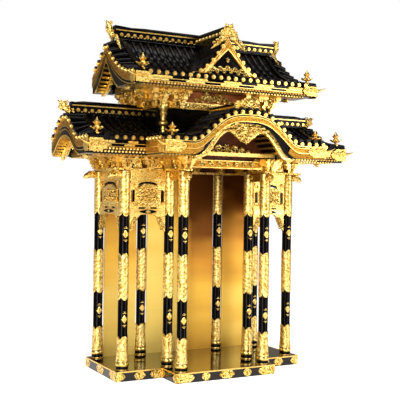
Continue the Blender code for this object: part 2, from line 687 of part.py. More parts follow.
def upper_brackets(gilt):
    """Bracket sets of the upper storey, stepping out in tiers to the eaves."""
    tier = (CORBEL_HEIGHT - GAP) / CORBEL_TIERS
    low = BODY_TOP_Z + GAP
    overlap = 2 * GAP
    blocks = []
    core = box("upper_brackets", (-BODY_HALF_WIDTH, BODY_HALF_WIDTH), (BODY_FRONT_Y, ROOF_BACK_Y),
               (low, CORBEL_TOP_Z), gilt)
    across = [side * x for side in (-1, 1) for x in (BODY_HALF_WIDTH, CORBEL_INNER_X)]
    along = spread(BODY_FRONT_Y + CORBEL_BLOCK_WIDTH, ROOF_BACK_Y - CORBEL_BLOCK_WIDTH, 2)
    half = CORBEL_BLOCK_WIDTH / 2
    for level in range(1, CORBEL_TIERS):
        reach = CORBEL_REACH * level / (CORBEL_TIERS - 1)
        z = (low + tier * level - overlap, CORBEL_TOP_Z - (GAP if level == 1 else 0))
        wide = half + CORBEL_WIDENING / 2 * (level - 1)
        for x in across:
            blocks.append(box("front_bracket", (x - wide, x + wide),
                              (BODY_FRONT_Y - reach, BODY_FRONT_Y + half), z, None, "cutters"))
        for side in (-1, 1):
            for y in along:
                span = sorted((side * (BODY_HALF_WIDTH + reach), side * (BODY_HALF_WIDTH - half)))
                blocks.append(box("side_bracket", span, (y - wide, y + wide), z, None, "cutters"))
    union(core, blocks)


def ridge(name, start, end, lift_start, lift_end, base, material):
    """A ridge along X: a long box whose outer end sweeps up."""
    bend = RIDGE_BEND * (end - start)
    outline = [(start, 0), (end, 0), (end, RIDGE_HEIGHT + lift_end)]
    outline += [(end - bend, RIDGE_HEIGHT + lift_end * RIDGE_BEND_LIFT)]
    outline += [(start + bend, RIDGE_HEIGHT + lift_start * RIDGE_BEND_LIFT)]
    outline += [(start, RIDGE_HEIGHT + lift_start)]
    return plate(name, [outline], RIDGE_THICKNESS, "Y", (0, 0, base), material)


def ridges(lacquer):
    """Ridge courses of the three roofs."""
    base = UPPER_RIDGE_Z + GAP
    end = UPPER_RIDGE_END_X
    ridge("ridge_upper", -end, end, RIDGE_END_LIFT, RIDGE_END_LIFT, base, lacquer)
    base = LOWER_RIDGE_Z + GAP
    start = BODY_HALF_WIDTH + GAP
    end = LOWER_RIDGE_END_X
    ridge("ridge_lower_left", -end, -start, RIDGE_END_LIFT / 2, 0, base, lacquer)
    ridge("ridge_lower_right", start, end, 0, RIDGE_END_LIFT / 2, base, lacquer)
    half = RIDGE_THICKNESS / 2
    box("ridge_porch", (-half, half), (PORCH_RIDGE_FRONT_Y, BODY_FRONT_Y - GAP),
        (PORCH_CREST_Z + GAP, PORCH_CREST_Z + PORCH_RIDGE_HEIGHT), lacquer)


def leafy(half_width, height, lobes, share):
    """An upright crest whose edge is a row of lobes round a pointed top."""
    points = []
    count = lobes * 4
    for i in range(count + 1):
        angle = pi * i / count
        swell = 1 - share * abs(sin(lobes * angle)) ** 0.5
        reach = swell * (0.78 + 0.22 * abs(sin(angle)))
        points.append((half_width * cos(angle) * (reach + 0.12), height * sin(angle) * reach))
    return points


def side_crest(reach, height, foot):
    """A ridge-end crest seen from the front: a stem that leans out to a curled tip."""
    outline = [(0, 0), (reach * 0.42, -foot), (reach * 0.60, height * 0.20)]
    outline += [(reach * 0.50, height * 0.42), (reach * 0.72, height * 0.58)]
    outline += [(reach, height), (reach * 0.70, height * 0.86), (reach * 0.30, height * 0.80)]
    return outline + [(0, height * 0.74)]


def crests(gilt):
    """Ornaments on the ridge ends, the porch and the dormer."""
    lower = side_crest(LOWER_CREST_REACH, LOWER_CREST_HEIGHT, LOWER_CREST_FOOT)
    upper = side_crest(UPPER_CREST_REACH, UPPER_CREST_HEIGHT, 0)
    for side, word in ((-1, "left"), (1, "right")):
        start = LOWER_RIDGE_END_X + GAP
        plate("crest_lower_" + word, [[(side * (start + u), v) for u, v in lower]],
              SIDE_CREST_THICKNESS, "Y", (0, 0, LOWER_RIDGE_Z + LOWER_CREST_FOOT + GAP), gilt)
        start = UPPER_RIDGE_END_X + GAP
        plate("crest_upper_" + word, [[(side * (start + u), v) for u, v in upper]],
              SIDE_CREST_THICKNESS, "Y", (0, 0, UPPER_RIDGE_Z + GAP), gilt)
    crest = leafy(PORCH_CREST_HALF_WIDTH, PORCH_CREST_HEIGHT, PORCH_CREST_LOBES,
                  PORCH_CREST_LOBING)
    half = CREST_THICKNESS / 2
    plate("crest_porch", [crest], CREST_THICKNESS, "Y",
          (0, PORCH_RIDGE_FRONT_Y - half - GAP, PORCH_CREST_Z + GAP), gilt)
    crest = leafy(DORMER_CREST_HALF_WIDTH, DORMER_CREST_HEIGHT, DORMER_CREST_LOBES,
                  DORMER_CREST_LOBING)
    plate("crest_dormer", [crest], CREST_THICKNESS, "Y",
          (0, DORMER_FRONT_Y - BOARD_THICKNESS - half - 4 * GAP, DORMER_TOP_Z - DORMER_CREST_SUNK),
          gilt)


def gable_board(name, side, x, tops, tail_y, depth, soffit, material):
    """A board under a side gable, from its (y, z) top edge, with hanging tails."""
    inner = [(y, z) for y, z in tops if abs(y) < tail_y - depth * BOARD_SHOULDER]
    taper = 1 - depth * BOARD_TAPER / tail_y
    bottom = [(y * taper, max(z - depth, soffit)) for y, z in inner]
    width = depth * BOARD_TAIL_WIDTH
    drop = soffit - BOARD_TAIL_DROP
    outline = list(tops)
    outline += [(tail_y, soffit + GAP), (tail_y, drop), (tail_y - width, drop)]
    outline += list(reversed(bottom))
    outline += [(-tail_y + width, drop), (-tail_y, drop), (-tail_y, soffit + GAP)]
    plate(name, [outline], BOARD_THICKNESS, "X", (side * x, 0, 0), material)


def board_tops(lines, under, x, tail_y):
    """Top edge of a gable board, just clear of the roof's underside."""
    inside = [y for y in lines if abs(y) < tail_y]
    return [(y, under(x, y)[2] - GAP) for y in inside]


def gable_boards(gilt):
    """Boards under the four side gables."""
    for side, word in ((-1, "left"), (1, "right")):
        x = LOWER_VERGE_X - LOWER_BOARD_INSET
        lines = arch_lines(LOWER_ARCH_HALF_SPAN, LOWER_ARCH_STEPS)
        tops = board_tops(lines, lower_under, x, BOARD_TAIL_Y)
        gable_board("gable_board_lower_" + word, side, x, tops, BOARD_TAIL_Y, BOARD_DEPTH,
                    BRACKET_TOP_Z - GAP, gilt)
        x = UPPER_VERGE_X - UPPER_BOARD_INSET
        tops = board_tops(upper_lines(), upper_under, x, BOARD_TAIL_Y)
        gable_board("gable_board_upper_" + word, side, x, tops, BOARD_TAIL_Y, BOARD_DEPTH,
                    CORBEL_TOP_Z - GAP, gilt)


def porch_board(gilt):
    """The wave-shaped gable board of the porch with its carved pendant."""
    tail = PORCH_BOARD_TAIL_X
    foot = BRACKET_TOP_Z - PORCH_BOARD_TAIL_DROP
    tops = [(x, porch_soffit(x) - GAP) for x in porch_lines() if abs(x) < tail - GAP]
    bottom = []
    for x in spread(PORCH_INNER_HALF_SPAN, -PORCH_INNER_HALF_SPAN, PORCH_STEPS):
        rise = PORCH_INNER_RISE * bell(x, PORCH_INNER_HALF_SPAN, PORCH_HOLLOW_POWER)
        pendant = PENDANT_DROP * bell(x, PENDANT_HALF_WIDTH, 1.0)
        bottom.append((x, max(foot, BRACKET_TOP_Z + rise - PORCH_BOARD_TAIL_CUT - pendant)))
    outline = [(-tail, foot + PORCH_BOARD_TAIL_CUT), (-tail, BRACKET_TOP_Z - GAP)] + tops
    outline += [(tail, BRACKET_TOP_Z - GAP), (tail, foot + PORCH_BOARD_TAIL_CUT)]
    outline += [(PORCH_INNER_HALF_SPAN + PORCH_BOARD_TAIL_CUT, foot)] + bottom
    outline += [(-PORCH_INNER_HALF_SPAN - PORCH_BOARD_TAIL_CUT, foot)]
    plate("porch_board", [outline], BOARD_THICKNESS, "Y",
          (0, PORCH_EAVE_Y + PORCH_BOARD_SETBACK + BOARD_THICKNESS, 0), gilt)


def dormer_board(gilt):
    """The straight-legged gable board of the dormer, with a crested band inside."""
    half = DORMER_HALF_SPAN * DORMER_BOARD_SHARE
    foot = UPPER_EAVE_Z + DORMER_BOARD_FOOT
    outline = []
    for x in spread(-half, half, DORMER_BOARD_STEPS):
        height = UPPER_EAVE_Z + DORMER_RISE * dormer_rise(x) - DORMER_BOARD_DROP
        outline.append((x, max(height, foot + DORMER_BOARD_TOE)))
    inner = half * DORMER_BOARD_INNER_SHARE
    outline += [(inner, foot), (0, foot + DORMER_BOARD_INNER_RISE), (-inner, foot)]
    plate("dormer_board", [outline], BOARD_THICKNESS, "Y",
          (0, DORMER_FRONT_Y - 3 * GAP - BOARD_THICKNESS / 2, 0), gilt)


def finial(name, x, y, foot, height, gilt):
    """A corner finial: a pointed jewel held by leaves on a waisted stem."""
    shape = [(0.0, 1.0), (0.16, 0.84), (0.62, 0.60), (0.86, 0.46), (0.58, 0.34), (0.34, 0.24)]
    shape += [(0.70, 0.10), (0.70, 0.0), (0.0, 0.0)]
    profile = [(FINIAL_RADIUS * r, height * z) for r, z in shape]
    turned(name, profile, FINIAL_SIDES, (x, y, foot + GAP), gilt)


def footing(top, x, y, eave_y, next_y):
    """Height of a roof under the inner back edge of a finial's foot."""
    share = (y + FINIAL_RADIUS - eave_y) / (next_y - eave_y)
    inner = abs(x) - FINIAL_RADIUS
    return top(inner, eave_y) * (1 - share) + top(inner, next_y) * share


def finials(gilt):
    """Finials on the front corners of the three roofs."""
    inset_x, inset_y = FINIAL_INSET
    next_y = (LOWER_EAVE_FRONT_Y - LOWER_ARCH_HALF_SPAN) / 2
    for side, word in ((-1, "left"), (1, "right")):
        x = LOWER_VERGE_X - inset_x
        y = LOWER_EAVE_FRONT_Y + inset_y
        foot = footing(lower_top, x, y, LOWER_EAVE_FRONT_Y, next_y)
        finial("finial_lower_" + word, side * x, y, foot, FINIAL_HEIGHT, gilt)
        x = UPPER_VERGE_X - inset_x
        y = UPPER_EAVE_FRONT_Y + inset_y
        foot = footing(upper_top, x, y, UPPER_EAVE_FRONT_Y, DORMER_FRONT_Y)
        finial("finial_upper_" + word, side * x, y, foot, FINIAL_HEIGHT, gilt)
        x = PORCH_HALF_WIDTH - inset_x
        y = PORCH_EAVE_Y + inset_y
        finial("finial_porch_" + word, side * x, y, porch_top(x, y), PORCH_FINIAL_HEIGHT, gilt)


def build():
    """Clear the scene and model the shrine."""
    for item in list(bpy.data.objects):
        bpy.data.objects.remove(item, do_unlink=True)
    for name in ("shrine", "cutters"):
        bpy.context.scene.collection.children.link(bpy.data.collections.new(name))
    lacquer = finish("black_lacquer", "0B0A0C", 0.12, 0.0)
    gilt = finish("gilt_fittings", "D9A33A", 0.28, 1.0)
    leaf = finish("gold_leaf", "C98F2E", 0.38, 1.0)
    plinth(lacquer)
    columns(lacquer)
    back_walls(leaf)
    beams(gilt)
    pierced_panels(gilt)
    bracket_rows(gilt)
    upper_body(lacquer)
    upper_brackets(gilt)
    for side, word in ((-1, "left"), (1, "right")):
        lower_wing(side, "lower_roof_" + word, lacquer)
    porch_roof(lacquer)
    upper_roof(lacquer)
    ridges(lacquer)
    gable_boards(gilt)
    porch_board(gilt)
    dormer_board(gilt)
    crests(gilt)
    finials(gilt)


build()
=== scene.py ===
"""Looks of the temple altar shrine: lacquer, gilding, tiles and carving over its solids.

Metres, +Z up, front towards -Y, as in the solids.
"""

from math import atan2, cos, pi, radians, sin, sqrt, tau

import bmesh
import bpy
from mathutils import Matrix, Vector


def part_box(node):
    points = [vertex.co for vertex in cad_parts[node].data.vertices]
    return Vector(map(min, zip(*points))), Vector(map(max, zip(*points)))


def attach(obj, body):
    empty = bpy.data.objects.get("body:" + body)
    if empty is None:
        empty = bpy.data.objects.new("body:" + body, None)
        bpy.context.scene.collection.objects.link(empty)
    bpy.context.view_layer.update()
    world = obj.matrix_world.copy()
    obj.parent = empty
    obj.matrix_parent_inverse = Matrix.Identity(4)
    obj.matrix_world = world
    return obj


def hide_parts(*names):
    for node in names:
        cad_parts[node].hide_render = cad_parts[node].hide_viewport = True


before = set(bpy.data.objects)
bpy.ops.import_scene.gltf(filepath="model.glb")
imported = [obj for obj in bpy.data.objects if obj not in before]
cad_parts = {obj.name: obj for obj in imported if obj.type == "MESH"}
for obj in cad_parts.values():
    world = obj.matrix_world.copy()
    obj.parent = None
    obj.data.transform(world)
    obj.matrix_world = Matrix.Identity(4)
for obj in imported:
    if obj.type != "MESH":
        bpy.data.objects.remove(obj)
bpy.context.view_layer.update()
SCENE = bpy.context.scene

# Columns
OUTER_COLUMN_X = 0.558
INNER_COLUMN_X = 0.2725
BACK_ROW_Y = 0.192
FRONT_ROW_Y = -0.200
PORCH_ROW_Y = -0.384
SHAFT_RADIUS = 0.0285
COLUMN_TOP_Z = 1.195
PLINTH_TOP_Z = 0.056
DIAMOND_Z = (0.3475, 0.831)

# Roofs
LOWER_EAVE_Y = -0.403
LOWER_EAVE_Z = 1.371
LOWER_RIDGE_Z = 1.517
LOWER_ARCH_Z = 1.500
LOWER_VERGE_X = 0.850
LOWER_SOFFIT_Z = 1.2758
UPPER_EAVE_Y = -0.434
UPPER_EAVE_Z = 1.7375
UPPER_RIDGE_Z = 1.979
UPPER_VERGE_Z = 1.949
UPPER_VERGE_X = 0.600
UPPER_SOFFIT_Z = 1.6697
ROOF_BACK_Y = 0.225
PORCH_EAVE_Y = -0.642
PORCH_HALF_WIDTH = 0.517
PORCH_CREST_Z = 1.532
BODY_HALF_WIDTH = 0.370
BODY_FRONT_Y = -0.2155
DORMER_Y = -0.372
DORMER_TOP_Z = 1.988
DORMER_HALF_SPAN = 0.320
DORMER_REACH = DORMER_HALF_SPAN * 0.95
LOWER_CURVE = 1.6
UPPER_CURVE = 2.1
DORMER_CURVE = 2.34
LOWER_ARCH = (0.246, 1.3)

# Tiles
TILE_PITCH = 0.049
ROLL_RADIUS = 0.0135
TILE_LIFT = 0.0015
COURSE_STEP = 0.0025
DISC_RADIUS = 0.0130
RAFTER_PITCH = 0.0205
RAFTER_HALF = 0.0045
COURSE_LENGTH = 0.052
TILE_THICKNESS = 0.008
VERGE_PITCH = TILE_PITCH * 0.985

# Fittings
INLAY_DEPTH = 0.0008
PLATE_DEPTH = 0.0018
SEAM = 1e-6
SHARP_ANGLE = radians(38)

# Directions
ACROSS = Vector((1, 0, 0))
UP = Vector((0, 0, 1))


# Materials


def linear(code):
    """Linear colour from sRGB hex."""
    parts = [int(code[i:i + 2], 16) / 255 for i in (0, 2, 4)]
    return [c / 12.92 if c <= 0.04045 else ((c + 0.055) / 1.055) ** 2.4 for c in parts] + [1.0]


def add(tree, kind, settings, links=None):
    """Add a shader node, with its settings and its links from other sockets."""
    item = tree.nodes.new("ShaderNode" + kind)
    for key, value in settings.items():
        if isinstance(key, int) or key in item.inputs:
            item.inputs[key].default_value = value
        else:
            setattr(item, key, value)
    for key, source in (links or {}).items():
        tree.links.new(source, item.inputs[key])
    return item


def new_material(name, **values):
    """A material with plain values on its shader, its tree and its shader."""
    material = bpy.data.materials.new(name)
    material.use_nodes = True
    tree = material.node_tree
    shader = tree.nodes["Principled BSDF"]
    for key, value in values.items():
        shader.inputs[key.replace("_", " ")].default_value = value
    return material, tree, shader


def ramp(tree, source, stops):
    """A colour ramp with its stops at (position, colour)."""
    item = add(tree, "ValToRGB", {}, {"Fac": source})
    spots = item.color_ramp.elements
    for spot, (position, _) in zip(spots, (stops[0], stops[-1])):
        spot.position = position
    for position, _ in stops[1:-1]:
        spots.new(position)
    for spot, (_, code) in zip(spots, stops):
        spot.color = linear(code)
    return item


def clouds(tree, shader, size, detail, stops):
    """Let a finish drift between tones in clouds of a real size."""
    where = add(tree, "TexCoord", {}).outputs["Object"]
    wave = add(tree, "TexNoise", {"Scale": 1 / size, "Detail": detail},
               {"Vector": where})
    tone = ramp(tree, wave.outputs["Fac"], stops)
    tree.links.new(tone.outputs["Color"], shader.inputs["Base Color"])
    return wave


def urushi(name, size, detail, deep, light, rough, mirror):
    """Urushi lacquer between two tones."""
    material, tree, shader = new_material(name, Roughness=rough, IOR=1.5,
                                          Specular_IOR_Level=mirror)
    clouds(tree, shader, size, detail, ((0.3, deep), (0.7, light)))
    return material


def tile_urushi():
    """Roof tiles of turned wood in satin black lacquer, slightly uneven in gloss."""
    material, tree, shader = new_material("tile_urushi", IOR=1.5, Specular_IOR_Level=0.11)
    wave = clouds(tree, shader, 0.025, 3.0, ((0.3, "010101"), (0.7, "060303")))
    gloss = add(tree, "MapRange", {"To Min": 0.16, "To Max": 0.32},
                {"Value": wave.outputs["Fac"]})
    tree.links.new(gloss.outputs["Result"], shader.inputs["Roughness"])
    return material


def gilt_plain():
    """Gold-plated brass, polished: bright lines, tips and discs."""
    material, tree, shader = new_material("gilt_plain", Metallic=1.0, Roughness=0.30)
    clouds(tree, shader, 0.018, 3.0, ((0.25, "D9A23A"), (0.75, "FBE08C")))
    return material


def gilt_relief(name, cell, shaded_ground, body, light, depth, rough=0.30):
    """Chased or carved gilding: scrolls that stand out of a base darkened with painted shade, with
    a painted highlight on their raised tops.

    The scroll pattern is drawn from bent cells of the given real size.
    """
    material, tree, shader = new_material(name, Metallic=1.0, Roughness=rough)
    where = add(tree, "TexCoord", {}).outputs["Object"]
    bend = add(tree, "TexNoise", {"Scale": 0.7 / cell, "Detail": 1.0},
               {"Vector": where})
    moved = add(tree, "MixRGB", {"blend_type": "ADD", "Fac": cell * 0.9},
                {"Color1": where, "Color2": bend.outputs["Color"]})
    cells = add(tree, "TexVoronoi",
                {"feature": "DISTANCE_TO_EDGE", "Scale": 1 / cell, "Randomness": 0.85},
                {"Vector": moved.outputs["Color"]})
    rings = add(tree, "TexWave",
                {"wave_type": "RINGS", "rings_direction": "SPHERICAL", "Scale": 0.35 / cell,
                 "Distortion": 9.0, "Detail": 1.0, "Detail Scale": 2.5}, {"Vector": where})
    height = add(tree, "Math", {"operation": "MULTIPLY_ADD", 1: 0.55},
                 {0: rings.outputs["Fac"], 2: cells.outputs["Distance"]})
    # Painted shade and painted highlight: the low, recessed parts of the pattern take the first,
    # dark colour, the raised parts the last, light colour.
    tone = ramp(tree, height.outputs["Value"],
                [(0.06, shaded_ground), (0.30, body), (0.80, light)])
    bump = add(tree, "Bump", {"Strength": 0.9, "Distance": depth},
               {"Height": height.outputs["Value"]})
    tree.links.new(tone.outputs["Color"], shader.inputs["Base Color"])
    tree.links.new(bump.outputs["Normal"], shader.inputs["Normal"])
    return material


def gold_leaf():
    """Gold leaf laid in squares on lacquer: soft sheen, faint joints, and a tone that
    deepens to brown in random clouds, with painted shade added across the wall bays, most of all
    right of the middle, and towards the head."""
    leaf = 0.109
    material, tree, shader = new_material("gold_leaf", Metallic=1.0)
    where = add(tree, "TexCoord", {}).outputs["Object"]
    face = add(tree, "Mapping", {"Rotation": (pi / 2, 0, 0)}, {"Vector": where})
    squares = add(tree, "TexBrick",
                  {"Scale": 1.0, "Brick Width": leaf, "Row Height": leaf, "Mortar Size": 0.0008,
                   "Color1": linear("F0CE5C"), "Color2": linear("E4BC48"),
                   "Mortar": linear("C99A34"), "offset": 0.0}, {"Vector": face.outputs["Vector"]})
    tall = add(tree, "Mapping", {"Scale": (0.45, 1.0, 1.3)}, {"Vector": where})
    cloud = add(tree, "TexNoise", {"Scale": 1 / 0.22, "Detail": 1.5},
                {"Vector": tall.outputs["Vector"]})
    height = add(tree, "SeparateXYZ", {}, {"Vector": where})
    # Painted shade: the leaf is darkened towards the head of the walls.
    rise = add(tree, "MapRange",
               {"From Min": 0.40, "From Max": 1.18, "To Min": -0.10, "To Max": 0.34},
               {"Value": height.outputs["Z"]})
    along = add(tree, "MapRange", {"From Min": -0.60, "From Max": 0.60},
                {"Value": height.outputs["X"]})
    # Painted shade that changes across the wall bays: least just left of the middle, most right of
    # it.
    bay_shade = ramp(tree, along.outputs["Result"],
               [(0.0, "A0A0A0"), (0.262, "A0A0A0"), (0.275, "181818"), (0.44, "202020"),
                (0.57, "D6D6D6"), (0.725, "D6D6D6"), (0.74, "BEBEBE"), (1.0, "BEBEBE")])
    soft = add(tree, "MapRange", {"To Min": 0.30, "To Max": 0.62},
               {"Value": cloud.outputs["Fac"]})
    cloud_and_head_shade = add(tree, "Math", {"operation": "ADD"},
                {0: soft.outputs["Result"], 1: rise.outputs["Result"]})
    # Random cloud tone plus the painted shade of the bays and of the head.
    shade = add(tree, "Math", {"operation": "MULTIPLY_ADD", 1: 0.55},
                {0: bay_shade.outputs["Color"], 2: cloud_and_head_shade.outputs["Value"]})
    tone = ramp(tree, shade.outputs["Value"],
                [(0.52, "EED67A"), (0.70, "DDB450"), (0.87, "B48238"), (0.99, "643C1A")])
    mixed = add(tree, "MixRGB", {"blend_type": "MULTIPLY", "Fac": 0.30},
                {"Color1": tone.outputs["Color"], "Color2": squares.outputs["Color"]})
    gloss = add(tree, "MapRange", {"To Min": 0.34, "To Max": 0.50},
                {"Value": cloud.outputs["Fac"]})
    tree.links.new(mixed.outputs["Color"], shader.inputs["Base Color"])
    tree.links.new(gloss.outputs["Result"], shader.inputs["Roughness"])
    return material


URUSHI = urushi("black_urushi", 0.060, 2.0, "030203", "0B0706", 0.10, 0.06)
FLOOR_URUSHI = urushi("plinth_urushi", 0.120, 2.0, "0C0503", "1A0C07", 0.07, 0.34)
TILES = tile_urushi()
RED = urushi("red_urushi", 0.040, 3.0, "7A3C16", "B8682C", 0.50, 0.15)
BROWN = urushi("brown_urushi", 0.040, 3.0, "2E1408", "5A2A12", 0.50, 0.15)
GILT = gilt_plain()
# Gilt reliefs: the first colour is painted shade in the recesses, the last a painted highlight on
# the raised tops.
CARVED = gilt_relief("gilt_carving", 0.014, "56300C", "E6B444", "FFEE9E", 0.0030)
SLEEVE = gilt_relief("chased_sleeve", 0.026, "A47C34", "DAB458", "F2DE98", 0.0008, 0.40)
FITTING = gilt_relief("chased_fitting", 0.010, "9A6418", "ECC054", "FFEA98", 0.0009, 0.36)
# A darker copy of the chased gilding: painted shade on the gilt boards and the porch beam.
SHADED_BOARD = gilt_relief("shaded_gilt_board", 0.018, "7E5016", "A67626", "C09238", 0.0005, 0.48)
LEAF = gold_leaf()


# Shapes


def piece(name, form, material, smooth=False, replaced=()):
    """Make an object of a form and let it ride on the shrine."""
    rims = [edge for edge in form.edges if edge.is_boundary]
    bmesh.ops.holes_fill(form, edges=rims, sides=0)
    bmesh.ops.recalc_face_normals(form, faces=form.faces)
    mesh = bpy.data.meshes.new(name)
    form.to_mesh(mesh)
    form.free()
    mesh.materials.append(material)
    if smooth:
        mesh.shade_smooth()
        mesh.set_sharp_from_angle(angle=SHARP_ANGLE)
    item = bpy.data.objects.new(name, mesh)
    SCENE.collection.objects.link(item)
    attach(item, "root")
    if replaced:
        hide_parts(*replaced)


def forms(count):
    """Empty forms, one for each finish."""
    return [bmesh.new() for _ in range(count)]


def block(form, low, high):
    """A box from its low to its high corner."""
    made = bmesh.ops.create_cube(form, size=1.0)["verts"]
    size = [b - a for a, b in zip(low, high)]
    bmesh.ops.scale(form, vec=size, verts=made)
    bmesh.ops.translate(form, vec=[(a + b) / 2 for a, b in zip(low, high)], verts=made)


def facing(centre, way):
    """A matrix that puts a shape at a place with its Z axis along a direction."""
    turn = Vector(way).to_track_quat("Z", "Y").to_matrix().to_4x4()
    return Matrix.Translation(centre) @ turn


def cone(form, centre, way, low_radius, high_radius, depth, sides=12):
    """A cone or cylinder centred on a place, along a direction."""
    bmesh.ops.create_cone(form, cap_ends=True, segments=sides, radius1=low_radius,
                          radius2=high_radius, depth=depth, matrix=facing(centre, way))


def ball(form, centre, size, way=UP, sides=8, rings=6):
    """An ellipsoid of the given half sizes, its third along a direction."""
    matrix = facing(centre, way) @ Matrix.Diagonal((*size, 1))
    bmesh.ops.create_uvsphere(form, u_segments=sides, v_segments=rings, radius=1, matrix=matrix)


def disc(form, centre, way, radius=DISC_RADIUS):
    """The round end of a tile: a rim with a raised boss."""
    way = Vector(way)
    cone(form, centre, way, radius, radius * 0.86, 0.010, 14)
    cone(form, Vector(centre) + way * 0.007, way, radius * 0.62, radius * 0.30, 0.006, 10)


def side_block(form, side, near, far, ys, zs):
    """A box between two distances from the middle, on one side."""
    ends = sorted((side * near, side * far))
    block(form, (ends[0], ys[0], zs[0]), (ends[1], ys[1], zs[1]))


def grid(form, count_u, count_v, place):
    """A sheet of count_u by count_v faces whose points place(i, k) puts."""
    made = bmesh.ops.create_grid(form, x_segments=count_u, y_segments=count_v, size=0.5)["verts"]
    for point in made:
        i = round((point.co.x + 0.5) * count_u)
        k = round((point.co.y + 0.5) * count_v)
        point.co = place(i, k)
    return made


def sweep(form, path, radii, sides=6, flat=1.0):
    """A tapering round strand along a path, flattened by a share."""
    path = [Vector(p) for p in path]
    last = len(path) - 1

    def place(i, k):
        ahead = path[min(i + 1, last)] - path[max(i - 1, 0)]
        turn = ahead.to_track_quat("Z", "Y")
        angle = tau * k / sides
        return path[i] + turn @ Vector((cos(angle), sin(angle) * flat, 0)) * radii[i]

    made = grid(form, last, sides, place)
    bmesh.ops.remove_doubles(form, verts=made, dist=SEAM)


def scroll(form, centre, right, up, size, thick, turns=1.2, steps=12):
    """A carved scroll that curls in on itself in the plane of two directions."""
    centre, right, up = Vector(centre), Vector(right), Vector(up)
    path = []
    radii = []
    for i in range(steps + 1):
        share = i / steps
        angle = turns * tau * share
        reach = size * (1 - 0.85 * share)
        path.append(centre + right * cos(angle) * reach + up * sin(angle) * reach)
        radii.append(thick * (0.15 if i == 0 else 1 - 0.55 * share))
    sweep(form, path, radii, 5)


def petal(form, base, tip, width, thick):
    """A leaf blade between two points."""
    base, tip = Vector(base), Vector(tip)
    ball(form, (base + tip) / 2, (width / 2, thick / 2, (tip - base).length / 2), tip - base, 6, 5)


def thicken(form, before, out):
    """Give the faces that a form has won a thickness along a direction."""
    faces = [f for f in form.faces if f not in before]
    made = bmesh.ops.extrude_face_region(form, geom=faces, use_keep_orig=True)
    moved = [v for v in made["geom"] if isinstance(v, bmesh.types.BMVert)]
    bmesh.ops.translate(form, vec=out, verts=moved)


def band(form, upper, lower, out):
    """A flat band between two rows of points, with a thickness along a direction."""
    before = set(form.faces)
    grid(form, len(upper) - 1, 1, lambda i, k: (upper, lower)[k][i])
    thicken(form, before, out)


def plaque(form, centre, right, up, outline, depth):
    """A flat fitting from its outline, standing out from a face."""
    centre, right, up = Vector(centre), Vector(right), Vector(up)
    before = set(form.faces)
    form.faces.new([form.verts.new(centre + right * u + up * v) for u, v in outline])
    thicken(form, before, right.cross(up) * depth)


def tab(length, half):
    """Outline of a fitting with one square end and one cusped end."""
    side = [(0, half), (length - 1.1 * half, half), (length - 0.8 * half, 0.66 * half),
            (length - 0.45 * half, 0.62 * half), (length - 0.2 * half, 0.25 * half)]
    return side + [(length, 0)] + [(u, -v) for u, v in reversed(side)]


def lobed(half_width, half_height, lobes, depth=0.16, count=36):
    """Outline of a fitting edged with round lobes."""
    points = []
    for i in range(count):
        angle = tau * i / count
        reach = 1 - depth * (1 - abs(cos(lobes * angle / 2)) ** 0.6)
        points.append((half_width * reach * cos(angle), half_height * reach * sin(angle)))
    return points


def flower(form, centre, right, up, size, leaves=8):
    """A carved rosette of leaves round a boss."""
    centre, right, up = Vector(centre), Vector(right), Vector(up)
    out = right.cross(up)
    for i in range(leaves):
        angle = tau * (i + 0.5) / leaves
        way = right * cos(angle) + up * sin(angle)
        petal(form, centre + way * size * 0.15, centre + way * size, size * 0.5, size * 0.3)
    ball(form, centre + out * size * 0.12, (size * 0.25, size * 0.25, size * 0.22), out, 8, 5)


def crown(form, foot, right, half_width, height, leaves, thick):
    """A crest of leaves that fans out over scrolls."""
    foot, right = Vector(foot), Vector(right)
    for i in range(leaves):
        share = i / (leaves - 1)
        angle = pi * (0.06 + 0.88 * share)
        reach = (0.86, 1.0)[i % 2]
        way = right * cos(angle) * half_width + UP * sin(angle) * height
        tip = foot + way * reach
        petal(form, foot + way * 0.22, tip, half_width * 0.34, thick)
        curl = -1 if share < 0.5 else 1
        scroll(form, foot + way * reach * 0.80, right * curl, UP, half_width * 0.17, thick * 0.30)
    for side in (-1, 1):
        centre = foot + right * side * half_width * 0.55 + UP * height * 0.14
        scroll(form, centre, right * side, UP, half_width * 0.40, thick * 0.38, 1.4)
        centre = foot + right * side * half_width * 0.22 + UP * height * 0.42
        scroll(form, centre, right * -side, UP, half_width * 0.26, thick * 0.40, 1.3)
    out = right.cross(UP)
    ball(form, foot + UP * height * 0.30 + out * thick * 0.3,
         (half_width * 0.24, half_width * 0.24, thick * 0.5), out, 10, 6)


def bell(distance, half_span, power):
    """A rounded arch from 1 at its middle to 0 at its feet."""
    share = min(1.0, abs(distance) / half_span)
    return 0.5 * (1 + cos(pi * share ** power))


def even(start, end, count):
    """count + 1 even values from start to end."""
    return [start + (end - start) * i / count for i in range(count + 1)]


# Roof surfaces


def lower_slope(y):
    """Tile surface of the lower roof along its slope."""
    fall = min(1.0, abs(y) / abs(LOWER_EAVE_Y))
    return LOWER_EAVE_Z + (LOWER_RIDGE_Z - LOWER_EAVE_Z) * (1 - fall) ** LOWER_CURVE


def lower_verge(y):
    """Tile surface of the lower roof along its gable."""
    return LOWER_EAVE_Z + (LOWER_ARCH_Z - LOWER_EAVE_Z) * bell(y, *LOWER_ARCH)


def porch_arch(x):
    """Tile surface of the porch roof across its width."""
    return LOWER_EAVE_Z + (PORCH_CREST_Z - LOWER_EAVE_Z) * bell(x, 0.345, 1.5)


def upper_slope(y, crest=UPPER_RIDGE_Z):
    """Tile surface of the upper roof along its slope."""
    fall = min(1.0, abs(y) / abs(UPPER_EAVE_Y))
    return UPPER_EAVE_Z + (crest - UPPER_EAVE_Z) * (1 - fall) ** UPPER_CURVE


def upper_verge(y):
    """Tile surface of the upper roof along its gable."""
    return upper_slope(y, UPPER_VERGE_Z)


